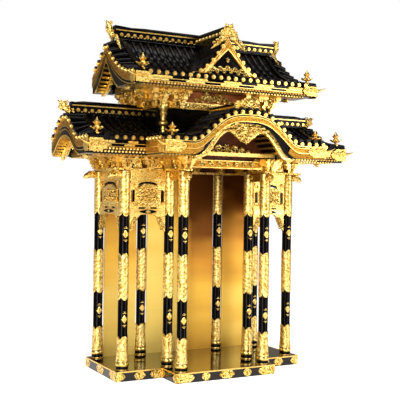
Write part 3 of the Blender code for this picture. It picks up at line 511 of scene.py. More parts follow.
def dormer_slope(x):
    """Tile surface of the dormer across its width."""
    share = (1 - min(1.0, abs(x) / DORMER_HALF_SPAN)) ** DORMER_CURVE
    return UPPER_EAVE_Z + (DORMER_TOP_Z - UPPER_EAVE_Z) * share


def roll_stations(centres):
    """Offsets across tile rolls and the pans between them, with their lifts."""
    stations = []
    for centre in centres:
        for share in (-1.8, -1.0, -0.92, -0.6, 0.0, 0.6, 0.92, 1.0):
            lift = ROLL_RADIUS * sqrt(max(0.0, 1 - share * share))
            stations.append((centre + share * ROLL_RADIUS, lift))
    stations.append((centres[-1] + 1.8 * ROLL_RADIUS, 0.0))
    return stations


def course_stations(start, end):
    """Places down a slope, with the lift of the tile courses that step on each other."""
    count = max(2, round(abs(end - start) / COURSE_LENGTH))
    stations = []
    for i in range(count):
        top = start + (end - start) * i / count
        low = start + (end - start) * (i + 0.96) / count
        stations.append((top, 0.0))
        stations.append(((top + low) / 2, COURSE_STEP / 2))
        stations.append((low, COURSE_STEP))
    stations.append((end, COURSE_STEP))
    return stations


def tile_field(form, centres, start, end, surface):
    """Rows of tiles: rolls at the centres, running from start to end down a surface."""
    across = roll_stations(centres)
    along = course_stations(start, end)

    def place(i, k):
        u, roll = across[i]
        v, step = along[k]
        x, y, z = surface(u, v)
        return (x, y, z + TILE_LIFT + roll + step)

    before = set(form.faces)
    grid(form, len(across) - 1, len(along) - 1, place)
    thicken(form, before, (0, 0, -TILE_THICKNESS))


# Columns


def turned(form, profile, x, y, steps=32):
    """A turned shape from its (radius, height) points, closed on its axis."""
    points = [form.verts.new((radius, 0, height)) for radius, height in profile]
    edges = [form.edges.new(pair) for pair in zip(points, points[1:])]
    bmesh.ops.spin(form, geom=points + edges, cent=(0, 0, 0), axis=UP, angle=tau,
                   steps=steps, use_merge=True)
    bmesh.ops.remove_doubles(form, verts=form.verts, dist=SEAM)
    bmesh.ops.translate(form, vec=(x, y, 0), verts=form.verts)


def lobed_sleeve(form, x, y, low, high, radius, lobes_low, lobes_high):
    """A gilt sleeve whose ends are cut in lobes, tucked on the shaft."""
    sides = 40

    def edge(angle, amount):
        return amount * (abs(cos(2 * angle)) ** 0.7 - 0.5)

    def place(i, k):
        angle = tau * i / sides
        bottom = low + edge(angle, lobes_low)
        top = high + edge(angle, lobes_high)
        share = (0.0, 0.0, 0.02, 0.25, 0.5, 0.75, 0.98, 1.0, 1.0)[k]
        inner = SHAFT_RADIUS - 0.001
        reach = inner if k in (0, 8) else radius
        if k in (1, 7):
            reach = radius - 0.0010
        return (x + reach * cos(angle), y + reach * sin(angle), bottom + (top - bottom) * share)

    made = grid(form, sides, 8, place)
    bmesh.ops.remove_doubles(form, verts=made, dist=SEAM)


def diamond(form, x, y, z, way):
    """A lozenge fitting that wraps the shaft, with a small bar over and under it."""
    facing_angle = atan2(way[1], way[0])
    steps = 6

    def wrap(u, v, reach):
        angle = facing_angle + u / SHAFT_RADIUS
        return (x + reach * cos(angle), y + reach * sin(angle), z + v)

    def lozenge(i, k):
        a, b = 2 * i / steps - 1, 2 * k / steps - 1
        rim = i in (0, steps) or k in (0, steps)
        reach = SHAFT_RADIUS - 0.0006 if rim else SHAFT_RADIUS + 0.0026
        return wrap((a + b) * 0.0110, (a - b) * 0.0135, reach)

    grid(form, steps, steps, lozenge)
    middle = Vector(wrap(0, 0, SHAFT_RADIUS + 0.0022))
    ball(form, middle, (0.0062, 0.0062, 0.0034), way, 8, 4)
    side = Vector((-way[1], way[0], 0))
    for height, half in ((-0.034, 0.0125), (0.034, 0.0125), (-0.041, 0.006), (0.041, 0.006)):
        spot = Vector(wrap(0, height, SHAFT_RADIUS - 0.0016))
        ball(form, spot, (0.0036, 0.0036, half), side, 6, 4)


def columns():
    """Ten columns: black shafts, chased sleeves, lozenges and moulded bases."""
    shafts, sleeves, rings, lozenges = forms(4)
    spots = []
    names = []
    for side, word in ((-1, "left"), (1, "right")):
        spots += [(side * OUTER_COLUMN_X, BACK_ROW_Y), (side * INNER_COLUMN_X, BACK_ROW_Y),
                  (side * OUTER_COLUMN_X, FRONT_ROW_Y), (side * INNER_COLUMN_X, FRONT_ROW_Y),
                  (side * INNER_COLUMN_X, PORCH_ROW_Y)]
        names += ["column_%s_%s" % (part, word) for part in
                  ("back_outer", "back_inner", "front_outer", "front_inner", "porch")]
    foot = PLINTH_TOP_Z + 0.0003
    shaft = [(0, COLUMN_TOP_Z), (SHAFT_RADIUS, COLUMN_TOP_Z), (SHAFT_RADIUS, 0.110),
             (0.034, 0.100), (0.034, foot + 0.022), (0.0355, foot + 0.016), (0.0355, foot + 0.002),
             (0.034, foot), (0, foot)]
    ring = [(0.030, 0.101), (0.0345, 0.1005), (0.0372, 0.095), (0.0378, 0.088), (0.0370, 0.081),
            (0.034, 0.077), (0.030, 0.0765), (0.030, 0.101)]
    foot_ring = [(0.030, foot + 0.0065), (0.0368, foot + 0.006), (0.0372, foot + 0.003),
                 (0.0368, foot), (0.030, foot), (0.030, foot + 0.0065)]
    skirt = [(0.028, 0.236), (0.0305, 0.235), (0.0312, 0.228), (0.0318, 0.190), (0.0330, 0.150),
             (0.0345, 0.138), (0.0352, 0.128), (0.0345, 0.123), (0.0362, 0.116), (0.0378, 0.108),
             (0.0370, 0.104), (0.030, 0.103), (0.028, 0.236)]
    for x, y in spots:
        form = bmesh.new()
        turned(form, shaft, x, y)
        shafts = merged(shafts, form)
        for profile in (ring, foot_ring):
            form = bmesh.new()
            turned(form, profile, x, y)
            rings = merged(rings, form)
        form = bmesh.new()
        turned(form, skirt, x, y)
        sleeves = merged(sleeves, form)
        lobed_sleeve(sleeves, x, y, 0.464, 0.713, 0.0312, -0.020, 0.020)
        lobed_sleeve(sleeves, x, y, 0.944, COLUMN_TOP_Z - 0.004, 0.0312, -0.024, 0.0)
        lobed_sleeve(sleeves, x, y, 0.205, 0.240, 0.0318, 0.0, 0.024)
        for z in DIAMOND_Z:
            for way in ((0, -1, 0), (0, 1, 0)):
                diamond(lozenges, x, y, z, way)
    piece("column_shafts", shafts, URUSHI, True, names)
    piece("column_sleeves", sleeves, SLEEVE, smooth=True)
    piece("column_rings", rings, GILT, smooth=True)
    piece("column_lozenges", lozenges, GILT)


def merged(target, form):
    """Put one form's shapes into another and drop the first."""
    carrier = bpy.data.meshes.new("carrier")
    form.to_mesh(carrier)
    form.free()
    target.from_mesh(carrier)
    bpy.data.meshes.remove(carrier)
    return target


# Roofs


def verge_rolls(tiles, discs, side, eave_y, verge_x, verge, inner):
    """Short tile rolls out to a gable's edge, each with its round end."""
    y = eave_y + 0.022
    while y <= ROOF_BACK_Y - 0.01:
        low, high = inner(y), verge(y) + 0.004
        path = [(side * (verge_x - 0.078 + 0.085 * share), y, low + (high - low) * share ** 1.3)
                for share in even(0, 1, 4)]
        sweep(tiles, path, [ROLL_RADIUS] * 5, 10)
        disc(discs, (side * (verge_x + 0.008), y, verge(y) - 0.006), (side, 0, 0))
        y += VERGE_PITCH


def roll_end(tiles, discs, x, y, z, length, drop):
    """A short tile roll over a front gable's edge, with its round end."""
    sweep(tiles, [(x, y, z + 0.004), (x, y + length, z + 0.004)], [ROLL_RADIUS] * 2, 10)
    disc(discs, (x, y - 0.004, z - drop), (0, -1, 0))


def wing_tiles():
    """Tiles, verge rolls and round tile ends of the lower wings."""
    tiles, discs = forms(2)
    centres = even(0.402, 0.402 + 6 * TILE_PITCH, 6)
    for side in (-1, 1):
        def surface(u, v):
            return (side * u, v, lower_slope(v))
        tile_field(tiles, centres, -0.024, LOWER_EAVE_Y - 0.004, surface)
        tile_field(tiles, centres, 0.024, ROOF_BACK_Y - 0.001, surface)
        for x in centres:
            disc(discs, (side * x, LOWER_EAVE_Y - 0.008, LOWER_EAVE_Z - 0.006), (0, -1, 0))
        verge_rolls(tiles, discs, side, LOWER_EAVE_Y, LOWER_VERGE_X, lower_verge,
                    lambda y: 0.5 * max(lower_slope(y), lower_verge(y))
                    + 0.5 * lower_slope(y) + 0.008)
    piece("wing_tiles", tiles, TILES, True)
    piece("wing_discs", discs, GILT)


def porch_tiles():
    """Tiles and round tile ends of the porch roof."""
    tiles, discs = forms(2)
    rows = even(PORCH_EAVE_Y + 0.045, LOWER_EAVE_Y - 0.030, 4)
    for side in (-1, 1):
        def surface(u, v):
            return (side * v, u, porch_arch(v))
        tile_field(tiles, rows, 0.024, PORCH_HALF_WIDTH + 0.002, surface)
        for y in rows:
            disc(discs, (side * (PORCH_HALF_WIDTH + 0.006), y, LOWER_EAVE_Z - 0.010), (side, 0, 0))
    step = 0.002
    length = spot = x = 0.0
    spots = [0.0]
    while x < PORCH_HALF_WIDTH - 0.02:
        length += sqrt(step ** 2 + (porch_arch(x + step) - porch_arch(x)) ** 2)
        x += step
        if length - spot > VERGE_PITCH:
            spots += [x, -x]
            spot = length
    for x in spots:
        roll_end(tiles, discs, x, PORCH_EAVE_Y - 0.004, porch_arch(x), 0.05, 0.012)
    piece("porch_tiles", tiles, TILES, True)
    piece("porch_discs", discs, GILT)


def valley_y(x):
    """Where the main slope meets the dormer, along y, for a place across the roof."""
    share = (DORMER_TOP_Z - UPPER_EAVE_Z) / (UPPER_RIDGE_Z - UPPER_EAVE_Z)
    rest = max(0.0, 1 - abs(x) / DORMER_HALF_SPAN) ** DORMER_CURVE * share
    return UPPER_EAVE_Y * (1 - min(1.0, rest) ** (1 / UPPER_CURVE))


def valley_x(y):
    """Where the dormer meets the main slope, across the roof, for a place along y."""
    share = (UPPER_RIDGE_Z - UPPER_EAVE_Z) / (DORMER_TOP_Z - UPPER_EAVE_Z)
    rest = max(0.0, 1 - abs(y) / abs(UPPER_EAVE_Y)) ** UPPER_CURVE * share
    return DORMER_HALF_SPAN * (1 - rest ** (1 / DORMER_CURVE))


def upper_tiles():
    """Tiles, verge rolls and round tile ends of the upper roof and its dormer."""
    tiles, discs = forms(2)

    def main(u, v):
        return (u, v, upper_slope(v))

    def dormer(side):
        return lambda u, v: (side * v, u, dormer_slope(v))

    for side in (-1, 1):
        outer = [side * TILE_PITCH * i for i in range(1, 10)]
        tile_field(tiles, sorted(outer), 0.024, ROOF_BACK_Y - 0.001, main)
        for x in outer:
            if abs(x) < DORMER_REACH:
                tile_field(tiles, [x], -0.024, valley_y(x) - 0.012, main)
        plain = sorted(x for x in outer if abs(x) > DORMER_REACH)
        tile_field(tiles, plain, -0.024, UPPER_EAVE_Y - 0.004, main)
        for y in [DORMER_Y + 0.016 + TILE_PITCH * i for i in range(7)]:
            if valley_x(y) > 0.060:
                tile_field(tiles, [y], 0.024, valley_x(y) + 0.006, dormer(side))
        verge_rolls(tiles, discs, side, UPPER_EAVE_Y, UPPER_VERGE_X, upper_verge,
                    lambda y: upper_slope(y) + 0.006)
    for x in even(-0.515, 0.515, 21):
        disc(discs, (x, UPPER_EAVE_Y - 0.008, UPPER_EAVE_Z - 0.006), (0, -1, 0))
        if abs(x) < DORMER_REACH:
            path = [(x, UPPER_EAVE_Y + run - 0.004, upper_slope(UPPER_EAVE_Y + run) + 0.003)
                    for run in (0.0, 0.055)]
            sweep(tiles, path, [ROLL_RADIUS] * 2, 10)
    for side in (-1, 1):
        for x in (0.036, 0.066, 0.100, 0.138, 0.180, 0.226, 0.274):
            roll_end(tiles, discs, side * x, DORMER_Y - 0.018, dormer_slope(x), 0.03, 0.004)
    piece("upper_tiles", tiles, TILES, True)
    piece("upper_discs", discs, GILT)


def bar(form, x, y, z, length, half):
    """A flat bar with pointed ends on the front of an eave."""
    tip = length / 2
    shape = [(-tip, 0), (half - tip, -half), (tip - half, -half), (tip, 0), (tip - half, half),
             (half - tip, half)]
    plaque(form, (x, y, z), ACROSS, UP, shape, 0.003)


def eave_band(lines, fields, bars, x0, x1, y, top, low, pitch):
    """A black fascia along a front eave: a gilt line, with bars over and under it."""
    block(fields, (x0, y, low), (x1, y + 0.02, top))
    middle = low + (top - low) * 0.47
    block(lines, (x0, y - 0.003, middle - 0.0016), (x1, y + 0.01, middle + 0.0016))
    block(lines, (x0, y - 0.002, low - 0.002), (x1, y + 0.01, low + 0.001))
    count = max(1, round((x1 - x0) / pitch))
    for i in range(count):
        x = x0 + (x1 - x0) * (i + 0.5) / count
        length = pitch * 0.50
        half = (top - middle) / 2 - 0.0030
        bar(bars, x + 0.010, y - 0.0003, middle + half + 0.003, length, half)
        half = (middle - low) / 2 - 0.0030
        bar(bars, x - 0.010, y - 0.0003, middle - half - 0.003, length, half)


def rafters(form, x0, x1, y, z, depth, size=0.012):
    """Rafters under an eave, with gilt tips."""
    count = round((x1 - x0) / RAFTER_PITCH)
    for x in even(x0, x1, count):
        block(form, (x - size / 2, y, z - size / 2), (x + size / 2, y + depth, z + size / 2))
        ball(form, (x, y, z), (size * 0.66, size * 0.66, 0.006), (0, -1, 0), 8, 4)


def soffit_rafter(form, low, high, z):
    """A flat rafter under a soffit, between two corners in plan."""
    block(form, (*low, z - 0.006), (*high, z + 0.001))


def eaves():
    """Fascias, boards and rafters along the eaves of the wings and the upper roof."""
    lines, fields, bars, boards = forms(4)
    for side in (-1, 1):
        ends = sorted((side * 0.40, side * 0.81))
        y = LOWER_EAVE_Y
        eave_band(lines, fields, bars, *ends, y + 0.003, 1.350, 1.314, 0.128)
        rafters(lines, *ends, y + 0.008, 1.3055, 0.05)
        rafters(lines, *ends, y + 0.024, 1.290, 0.05)
        side_block(boards, side, 0.40, 0.81, (y + 0.014, y + 0.05), (1.298, 1.313))
        side_block(boards, side, 0.40, 0.81, (y + 0.031, y + 0.06), (1.2772, 1.298))
        side_block(boards, side, 0.375, 0.84, (ROOF_BACK_Y, ROOF_BACK_Y + 0.006), (1.300, 1.345))
        for x in even(0.325, 0.775, 22):
            soffit_rafter(lines, (side * x - RAFTER_HALF, LOWER_EAVE_Y + 0.040),
                          (side * x + RAFTER_HALF, FRONT_ROW_Y - 0.060), LOWER_SOFFIT_Z)
        ends = sorted((side * (OUTER_COLUMN_X + 0.060), side * 0.744))
        for y in even(FRONT_ROW_Y - 0.040, BACK_ROW_Y, 18):
            soffit_rafter(lines, (ends[0], y - RAFTER_HALF), (ends[1], y + RAFTER_HALF),
                          LOWER_SOFFIT_Z)
        for x in even(0.320, 0.500, 9):
            soffit_rafter(lines, (side * x - RAFTER_HALF, PORCH_EAVE_Y + 0.060),
                          (side * x + RAFTER_HALF, LOWER_EAVE_Y + 0.020), LOWER_SOFFIT_Z)
    for x in even(-0.530, 0.530, 52):
        soffit_rafter(lines, (x - RAFTER_HALF, UPPER_EAVE_Y + 0.040),
                      (x + RAFTER_HALF, BODY_FRONT_Y - 0.080), UPPER_SOFFIT_Z)
    y = UPPER_EAVE_Y
    eave_band(lines, fields, bars, -0.56, 0.56, y + 0.003, 1.719, 1.686, 0.245)
    rafters(lines, -0.56, 0.56, y + 0.012, 1.6785, 0.05)
    block(boards, (-0.56, y + 0.020, 1.671), (0.56, y + 0.05, 1.686))
    block(boards, (-0.59, ROOF_BACK_Y, 1.680), (0.59, ROOF_BACK_Y + 0.006, 1.715))
    piece("eave_lines", lines, GILT)
    piece("eave_fields", fields, URUSHI)
    piece("eave_bars", bars, FITTING)
    piece("eave_boards", boards, BROWN)


def verge_line(verge, depth, count=32):
    """Points under a gable's tile edge, at a depth below it."""
    start = LOWER_EAVE_Y if verge is lower_verge else UPPER_EAVE_Y
    return [(y, verge(y) - depth) for y in even(start, ROOF_BACK_Y, count)]


def lower_hollow(y):
    """Underside of the lower roof inside its gable."""
    return LOWER_SOFFIT_Z + 0.110 * bell(y, *LOWER_ARCH)


def upper_hollow(y):
    """Underside of the upper roof inside its gable."""
    return UPPER_SOFFIT_Z + 0.185 * max(0.0, 1 - abs(y) / 0.190) ** 1.55


def verge_boards():
    """Boards, lines, rafters, lattice and hanging tails of the four side gables."""
    boards, lines, fields, tails = forms(4)
    gables = ((lower_verge, lower_hollow, LOWER_VERGE_X, 0.790, 0.745, 0.232, 1.287),
              (upper_verge, upper_hollow, UPPER_VERGE_X, 0.543, 0.490, 0.176, 1.690))
    for verge, hollow, x, board_x, wall_x, reach, tail_z in gables:
        for side in (-1, 1):
            for form, top, low, out in ((boards, 0.020, 0.056, 0.004), (lines, 0.018, 0.022, 0.007),
                                        (lines, 0.055, 0.059, 0.007), (fields, 0.059, 0.074, 0.004),
                                        (lines, 0.073, 0.077, 0.007)):
                upper = [(side * x, y, z) for y, z in verge_line(verge, top)]
                lower = [(side * x, y, z) for y, z in verge_line(verge, low)]
                band(form, upper, lower, (side * out, 0, 0))
            ys = even(-reach, min(reach, ROOF_BACK_Y - 0.01), 24)
            edge = [(side * x, y, hollow(y) + 0.007) for y in ys]
            band(lines, edge, [(px, y, z - 0.009) for px, y, z in edge], (side * 0.005, 0, 0))
            for y in even(-reach + 0.02, min(reach, ROOF_BACK_Y) - 0.02, round(reach * 2 / 0.0235)):
                z = hollow(y) - 0.006
                side_block(lines, side, board_x + 0.010, x - 0.002,
                           (y - RAFTER_HALF, y + RAFTER_HALF), (z - 0.006, z + 0.006))
                floor = hollow(1.0)
                if hollow(y) - floor > 0.030:
                    side_block(lines, side, wall_x, wall_x + 0.006,
                               (y - 0.0025, y + 0.0025), (floor + 0.004, hollow(y) - 0.016))
            for way in (-1, 1):
                spot = Vector((side * (board_x + 0.002), way * 0.205, tail_z - 0.036))
                petal(tails, spot + Vector((0, way * -0.075, 0.082)), spot, 0.038, 0.026)
                petal(tails, spot + Vector((0, way * -0.028, 0.070)), spot + Vector((0, 0, 0.004)),
                      0.030, 0.022)
                scroll(tails, spot + Vector((0, way * -0.034, 0.050)), (0, -way, 0), UP,
                       0.014, 0.008, 1.2)
    piece("verge_boards", boards, SHADED_BOARD, smooth=True)
    piece("verge_lines", lines, GILT)
    piece("verge_fields", fields, URUSHI)
    piece("gable_tails", tails, GILT, smooth=True)


def porch_front():
    """Gilt boards that follow the porch's wave, with lines and a black band between."""
    boards, lines, fields = forms(3)
    xs = even(-PORCH_HALF_WIDTH, PORCH_HALF_WIDTH, 56)

    def row(depth):
        return [(x, PORCH_EAVE_Y, porch_arch(x) - depth) for x in xs]

    for form, top, low, out in ((fields, 0.027, 0.034, 0.004), (boards, 0.036, 0.064, 0.004),
                                (lines, 0.023, 0.027, 0.007), (lines, 0.034, 0.037, 0.007),
                                (lines, 0.062, 0.066, 0.007)):
        band(form, row(top), row(low), (0, -out, 0))
    inner = even(-0.300, 0.300, 40)
    edge = [(x, -0.6015, 1.2670 + 0.161 * bell(x, 0.270, 2.0)) for x in inner if abs(x) > 0.11]
    for part in ([p for p in edge if p[0] < 0], [p for p in edge if p[0] > 0]):
        band(lines, [(x, y, z + 0.010) for x, y, z in part], part, (0, -0.004, 0))
    for side in (-1, 1):
        wing = [x for x in xs if 0.27 < x * side]
        upper = [(x, PORCH_EAVE_Y + 0.006, porch_arch(x) - 0.066) for x in wing]
        lower = [(x, PORCH_EAVE_Y + 0.028, max(porch_arch(x) - 0.094, 1.278)) for x in wing]
        band(boards, upper, lower, (0, -0.004, 0))
        flank = side * PORCH_HALF_WIDTH
        ys = even(PORCH_EAVE_Y, LOWER_EAVE_Y - 0.002, 3)
        for form, top, low, out in ((boards, 1.347, 1.283, 0.004), (lines, 1.349, 1.344, 0.007),
                                    (lines, 1.318, 1.313, 0.007), (lines, 1.286, 1.281, 0.006)):
            band(form, [(flank, y, top) for y in ys], [(flank, y, low) for y in ys],
                 (side * out, 0, 0))
    piece("porch_boards", boards, SHADED_BOARD, smooth=True)
    piece("porch_lines", lines, GILT)
    piece("porch_fields", fields, URUSHI)


def porch_inside():
    """The panel, tie beam and rafters under the porch's wave, and clouds on its board."""
    panel, clouds, bars = forms(3)
    y = -0.3755
    xs = even(-0.285, 0.285, 24)

    def top(x):
        return LOWER_SOFFIT_Z + 0.185 * bell(x, 0.300, 2.0)

    band(panel, [(x, y, top(x)) for x in xs], [(x, y, 1.262) for x in xs], (0, -0.004, 0))
    for side in (-1, 1):
        for x, z, size in ((0.024, 1.392, 0.020), (0.050, 1.412, 0.021), (0.080, 1.427, 0.020),
                           (0.110, 1.430, 0.018), (0.138, 1.418, 0.015), (0.030, 1.430, 0.018),
                           (0.062, 1.446, 0.014)):
            scroll(clouds, (side * x, -0.607, z), ACROSS * side, UP, size, 0.0080, 1.5)
        for x, z, size in ((0.050, 1.325, 0.026), (0.100, 1.318, 0.022), (0.145, 1.306, 0.018)):
            scroll(clouds, (side * x, y - 0.012, z), ACROSS * side, UP, size, 0.0085, 1.5)
        for x in even(0.012, 0.250, 11):
            z = top(x) - 0.007
            block(bars, (side * x - 0.004, -0.583, z - 0.005), (side * x + 0.004, y, z + 0.005))
    flower(clouds, (0, y - 0.014, 1.332), ACROSS, UP, 0.030)
    block(bars, (-0.262, -0.500, 1.282), (0.262, -0.474, 1.302))
    piece("porch_panel", panel, BROWN)
    piece("porch_clouds", clouds, CARVED, smooth=True)
    piece("porch_bars", bars, FITTING)


def pendants():
    """Carved pendants under the gable points."""
    form = bmesh.new()
    for x, y, z, right, size in ((0, -0.608, 1.386, ACROSS, 0.024),
                                 (-0.800, 0, 1.372, (0, -1, 0), 0.036),
                                 (0.800, 0, 1.372, (0, 1, 0), 0.036),
                                 (-0.555, 0, 1.800, (0, -1, 0), 0.036),
                                 (0.555, 0, 1.800, (0, 1, 0), 0.036)):
        right = Vector(right)
        flower(form, (x, y, z), right, UP, size * 0.8)
        for side in (-1, 1):
            centre = Vector((x, y, z + size * 0.1)) + right * side * size * 1.25
            scroll(form, centre, right * side, UP, size * 0.72, size * 0.2, 1.4)
            centre = Vector((x, y, z - size * 0.9)) + right * side * size * 0.45
            scroll(form, centre, right * side, (0, 0, -1), size * 0.40, size * 0.16, 1.2)
        petal(form, (x, y, z - size * 0.3), (x, y, z - size * 1.7), size * 0.55, size * 0.4)
    piece("gable_pendants", form, CARVED, smooth=True)


def dormer_front():
    """Lines, dark field, ornament and cloud band of the dormer's gable."""
    lines, field, clouds = forms(3)
    xs = even(-0.27, 0.27, 36)
    y = DORMER_Y - 0.017

    def row(depth, floor=UPPER_EAVE_Z + 0.010):
        return [(x, y, max(dormer_slope(x) - depth, floor)) for x in xs]

    for top, low in ((0.010, 0.015), (0.030, 0.034)):
        band(lines, row(top), row(low), (0, -0.004, 0))
    for side in (-1, 1):
        legs = even(0.0, 0.150, 10)
        upper = [(side * x, y, 1.915 - 0.95 * x) for x in legs]
        lower = [(side * x, y, 1.906 - 0.95 * x) for x in legs]
        band(lines, upper, lower, (0, -0.004, 0))
    inner = even(-0.150, 0.150, 16)
    upper = [(x, DORMER_Y - 0.0008, 1.906 - 0.95 * abs(x)) for x in inner]
    lower = [(x, DORMER_Y - 0.0008, UPPER_EAVE_Z + 0.012) for x in inner]
    band(field, upper, lower, (0, -0.003, 0))
    flower(clouds, (0, y, 1.845), ACROSS, UP, 0.016, 6)
    for i in range(-5, 6):
        x = i * 0.024
        z = 1.795 - 0.012 * abs(i % 2) - abs(x) * 0.10
        scroll(clouds, (x, y, z), (1 if i > 0 else -1, 0, 0), UP, 0.016, 0.006, 1.4)
    piece("dormer_lines", lines, GILT)
    piece("dormer_field", field, URUSHI)
    piece("dormer_clouds", clouds, CARVED, smooth=True)


def ridge_dressing():
    """Gilt lines, round tile ends and rounded caps on the ridges."""
    lines, caps = forms(2)
    for start, end, base in ((-0.815, -0.375, LOWER_RIDGE_Z), (0.375, 0.815, LOWER_RIDGE_Z),
                             (-0.552, 0.552, UPPER_RIDGE_Z)):
        for way in (-1, 1):
            y = way * 0.0222
            block(lines, (start, min(y, y + way * 0.003), base + 0.046),
                  (end, max(y, y + way * 0.003), base + 0.052))
            count = round((end - start - 0.05) / 0.0425)
            for x in even(start + 0.035, end - 0.02, count):
                disc(lines, (x, y + way * 0.002, base + 0.022), (0, way, 0), 0.0120)
                scroll(lines, (x + 0.021, y + way * 0.002, base + 0.017), ACROSS, (0, 0, -1),
                       0.009, 0.0026, 0.6, 5)
        sweep(caps, [(x, 0, base + 0.066) for x in even(start, end, 6)],
              [0.002] + [0.020] * 5 + [0.002], 12, 0.55)
    y = -0.600
    sweep(caps, [(0, v, PORCH_CREST_Z + 0.036) for v in even(y, BODY_FRONT_Y, 4)],
          [0.020] * 5, 12, 1.0)
    for side in (-1, 1):
        for low, high in ((0.000, 0.004), (0.026, 0.034)):
            side_block(lines, side, 0.0215, 0.0275, (y + 0.010, BODY_FRONT_Y),
                       (PORCH_CREST_Z + low, PORCH_CREST_Z + high))
        for v in even(y + 0.025, BODY_FRONT_Y - 0.02, 12):
            disc(lines, (side * 0.0245, v, PORCH_CREST_Z + 0.015), (side, 0, 0), 0.0105)
    for v in even(DORMER_Y + 0.03, -0.05, 7):
        for side in (-1, 1):
            disc(lines, (side * 0.0240, v, 2.006), (side, 0, 0), 0.0110)
    sweep(caps, [(0, v, 2.028) for v in even(DORMER_Y + 0.002, -0.03, 4)], [0.020] * 5, 12, 1.0)
    piece("ridge_lines", lines, GILT)
    piece("ridge_caps", caps, TILES, True)


def crests():
    """Leafy crests on the ridge ends, the porch and the dormer."""
    form = bmesh.new()
    crown(form, (0, DORMER_Y - 0.028, 1.958), ACROSS, 0.062, 0.108, 9, 0.026)
    for side in (-1, 1):
        path = [(side * (0.030 + 0.090 * t), DORMER_Y - 0.026, 1.975 - 0.075 * t ** 0.8)
                for t in even(0, 1, 8)]
        sweep(form, path, [0.014, 0.014, 0.012, 0.011, 0.010, 0.009, 0.008, 0.006, 0.001], 6, 0.7)
        for t in (0.25, 0.5, 0.75):
            spot = (side * (0.030 + 0.090 * t), DORMER_Y - 0.030, 1.990 - 0.075 * t ** 0.8)
            scroll(form, spot, ACROSS * side, UP, 0.014, 0.006, 1.2)
    piece("dormer_crest", form, CARVED, smooth=True, replaced=("crest_dormer",))
    form = bmesh.new()
    crown(form, (0, -0.612, PORCH_CREST_Z + 0.004), ACROSS, 0.092, 0.066, 7, 0.022)
    disc(form, (0, -0.624, PORCH_CREST_Z + 0.026), (0, -1, 0), 0.020)
    piece("porch_crest", form, CARVED, smooth=True, replaced=("crest_porch",))
    for name, x, base, reach, height in (("lower", 0.8195, LOWER_RIDGE_Z, 0.076, 0.070),
                                         ("upper", 0.5565, UPPER_RIDGE_Z, 0.048, 0.100)):
        for side, word in ((-1, "left"), (1, "right")):
            form = bmesh.new()
            foot = Vector((side * (x + 0.012), 0, base + 0.012))

            def at(out, rise):
                return foot + Vector((side * reach * out, 0, height * rise))

            crown(form, foot - UP * 0.012, (0, 1, 0), 0.034, 0.060, 5, 0.020)
            tip = foot + Vector((side * (reach - 0.012), 0, height - 0.012))
            path = [foot, at(0.30, 0.30), at(0.36, 0.58), at(0.60, 0.76), tip]
            sweep(form, path, [0.018, 0.021, 0.019, 0.014, 0.003], 8, 0.8)
            for lean, rise, width in ((0.30, 0.88, 0.028), (0.62, 0.70, 0.026),
                                      (0.80, 0.46, 0.022)):
                leaf_tip = at(lean, rise) - UP * 0.006
                petal(form, at(lean * 0.20, rise * 0.20), leaf_tip, width, 0.024)
            scroll(form, at(0.45, 0.40), ACROSS * side, UP, 0.018, 0.008, 1.3)
            scroll(form, at(0.15, 0.72), ACROSS * -side, UP, 0.014, 0.006, 1.2)
            disc(form, foot + Vector((side * 0.010, 0, height * 0.30)), (side, 0, 0), 0.014)
            for way in (-1, 1):
                fall = upper_slope if name == "upper" else lower_slope
                run = even(0.018, 0.100 if name == "upper" else 0.050, 6)
                path = [(side * (x - 0.006), way * t, fall(t) + 0.034 - 0.14 * (t - 0.018))
                        for t in run]
                sweep(form, path, [0.013, 0.012, 0.011, 0.010, 0.008, 0.006, 0.001], 6, 0.8)
            piece("%s_crest_%s" % (name, word), form, CARVED, smooth=True,
                  replaced=("crest_%s_%s" % (name, word),))


def finials():
    """Jewels held by leaves on the front corners of the roofs."""
    for name in ("lower", "upper", "porch"):
        for word in ("left", "right"):
            node = "finial_%s_%s" % (name, word)
            low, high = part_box(node)
            x, y = (low[0] + high[0]) / 2, (low[1] + high[1]) / 2
            height = high[2] - low[2]
            form = bmesh.new()
            shape = [(0, 1.0), (0.0015, 0.97), (0.0045, 0.86), (0.0105, 0.76), (0.0120, 0.68),
                     (0.0085, 0.60), (0.0050, 0.56), (0.0110, 0.50), (0.0165, 0.40), (0.0150, 0.30),
                     (0.0070, 0.23), (0.0055, 0.17), (0.0130, 0.12), (0.0145, 0.05), (0.0130, 0.0),
                     (0, 0)]
            turned(form, [(r * 1.25, low[2] + height * z) for r, z in shape], x, y, 16)
            for i in range(6):
                angle = tau * i / 6
                way = Vector((cos(angle), sin(angle), 0))
                base = Vector((x, y, low[2] + height * 0.26)) + way * 0.012
                petal(form, base, base + way * 0.028 + Vector((0, 0, height * 0.18)), 0.018, 0.009)
                base = Vector((x, y, low[2] + height * 0.52)) + way * 0.004
                petal(form, base, base + way * 0.019 + Vector((0, 0, height * 0.17)), 0.013, 0.007)
            piece("jewel_%s_%s" % (name, word), form, GILT, smooth=True, replaced=(node,))


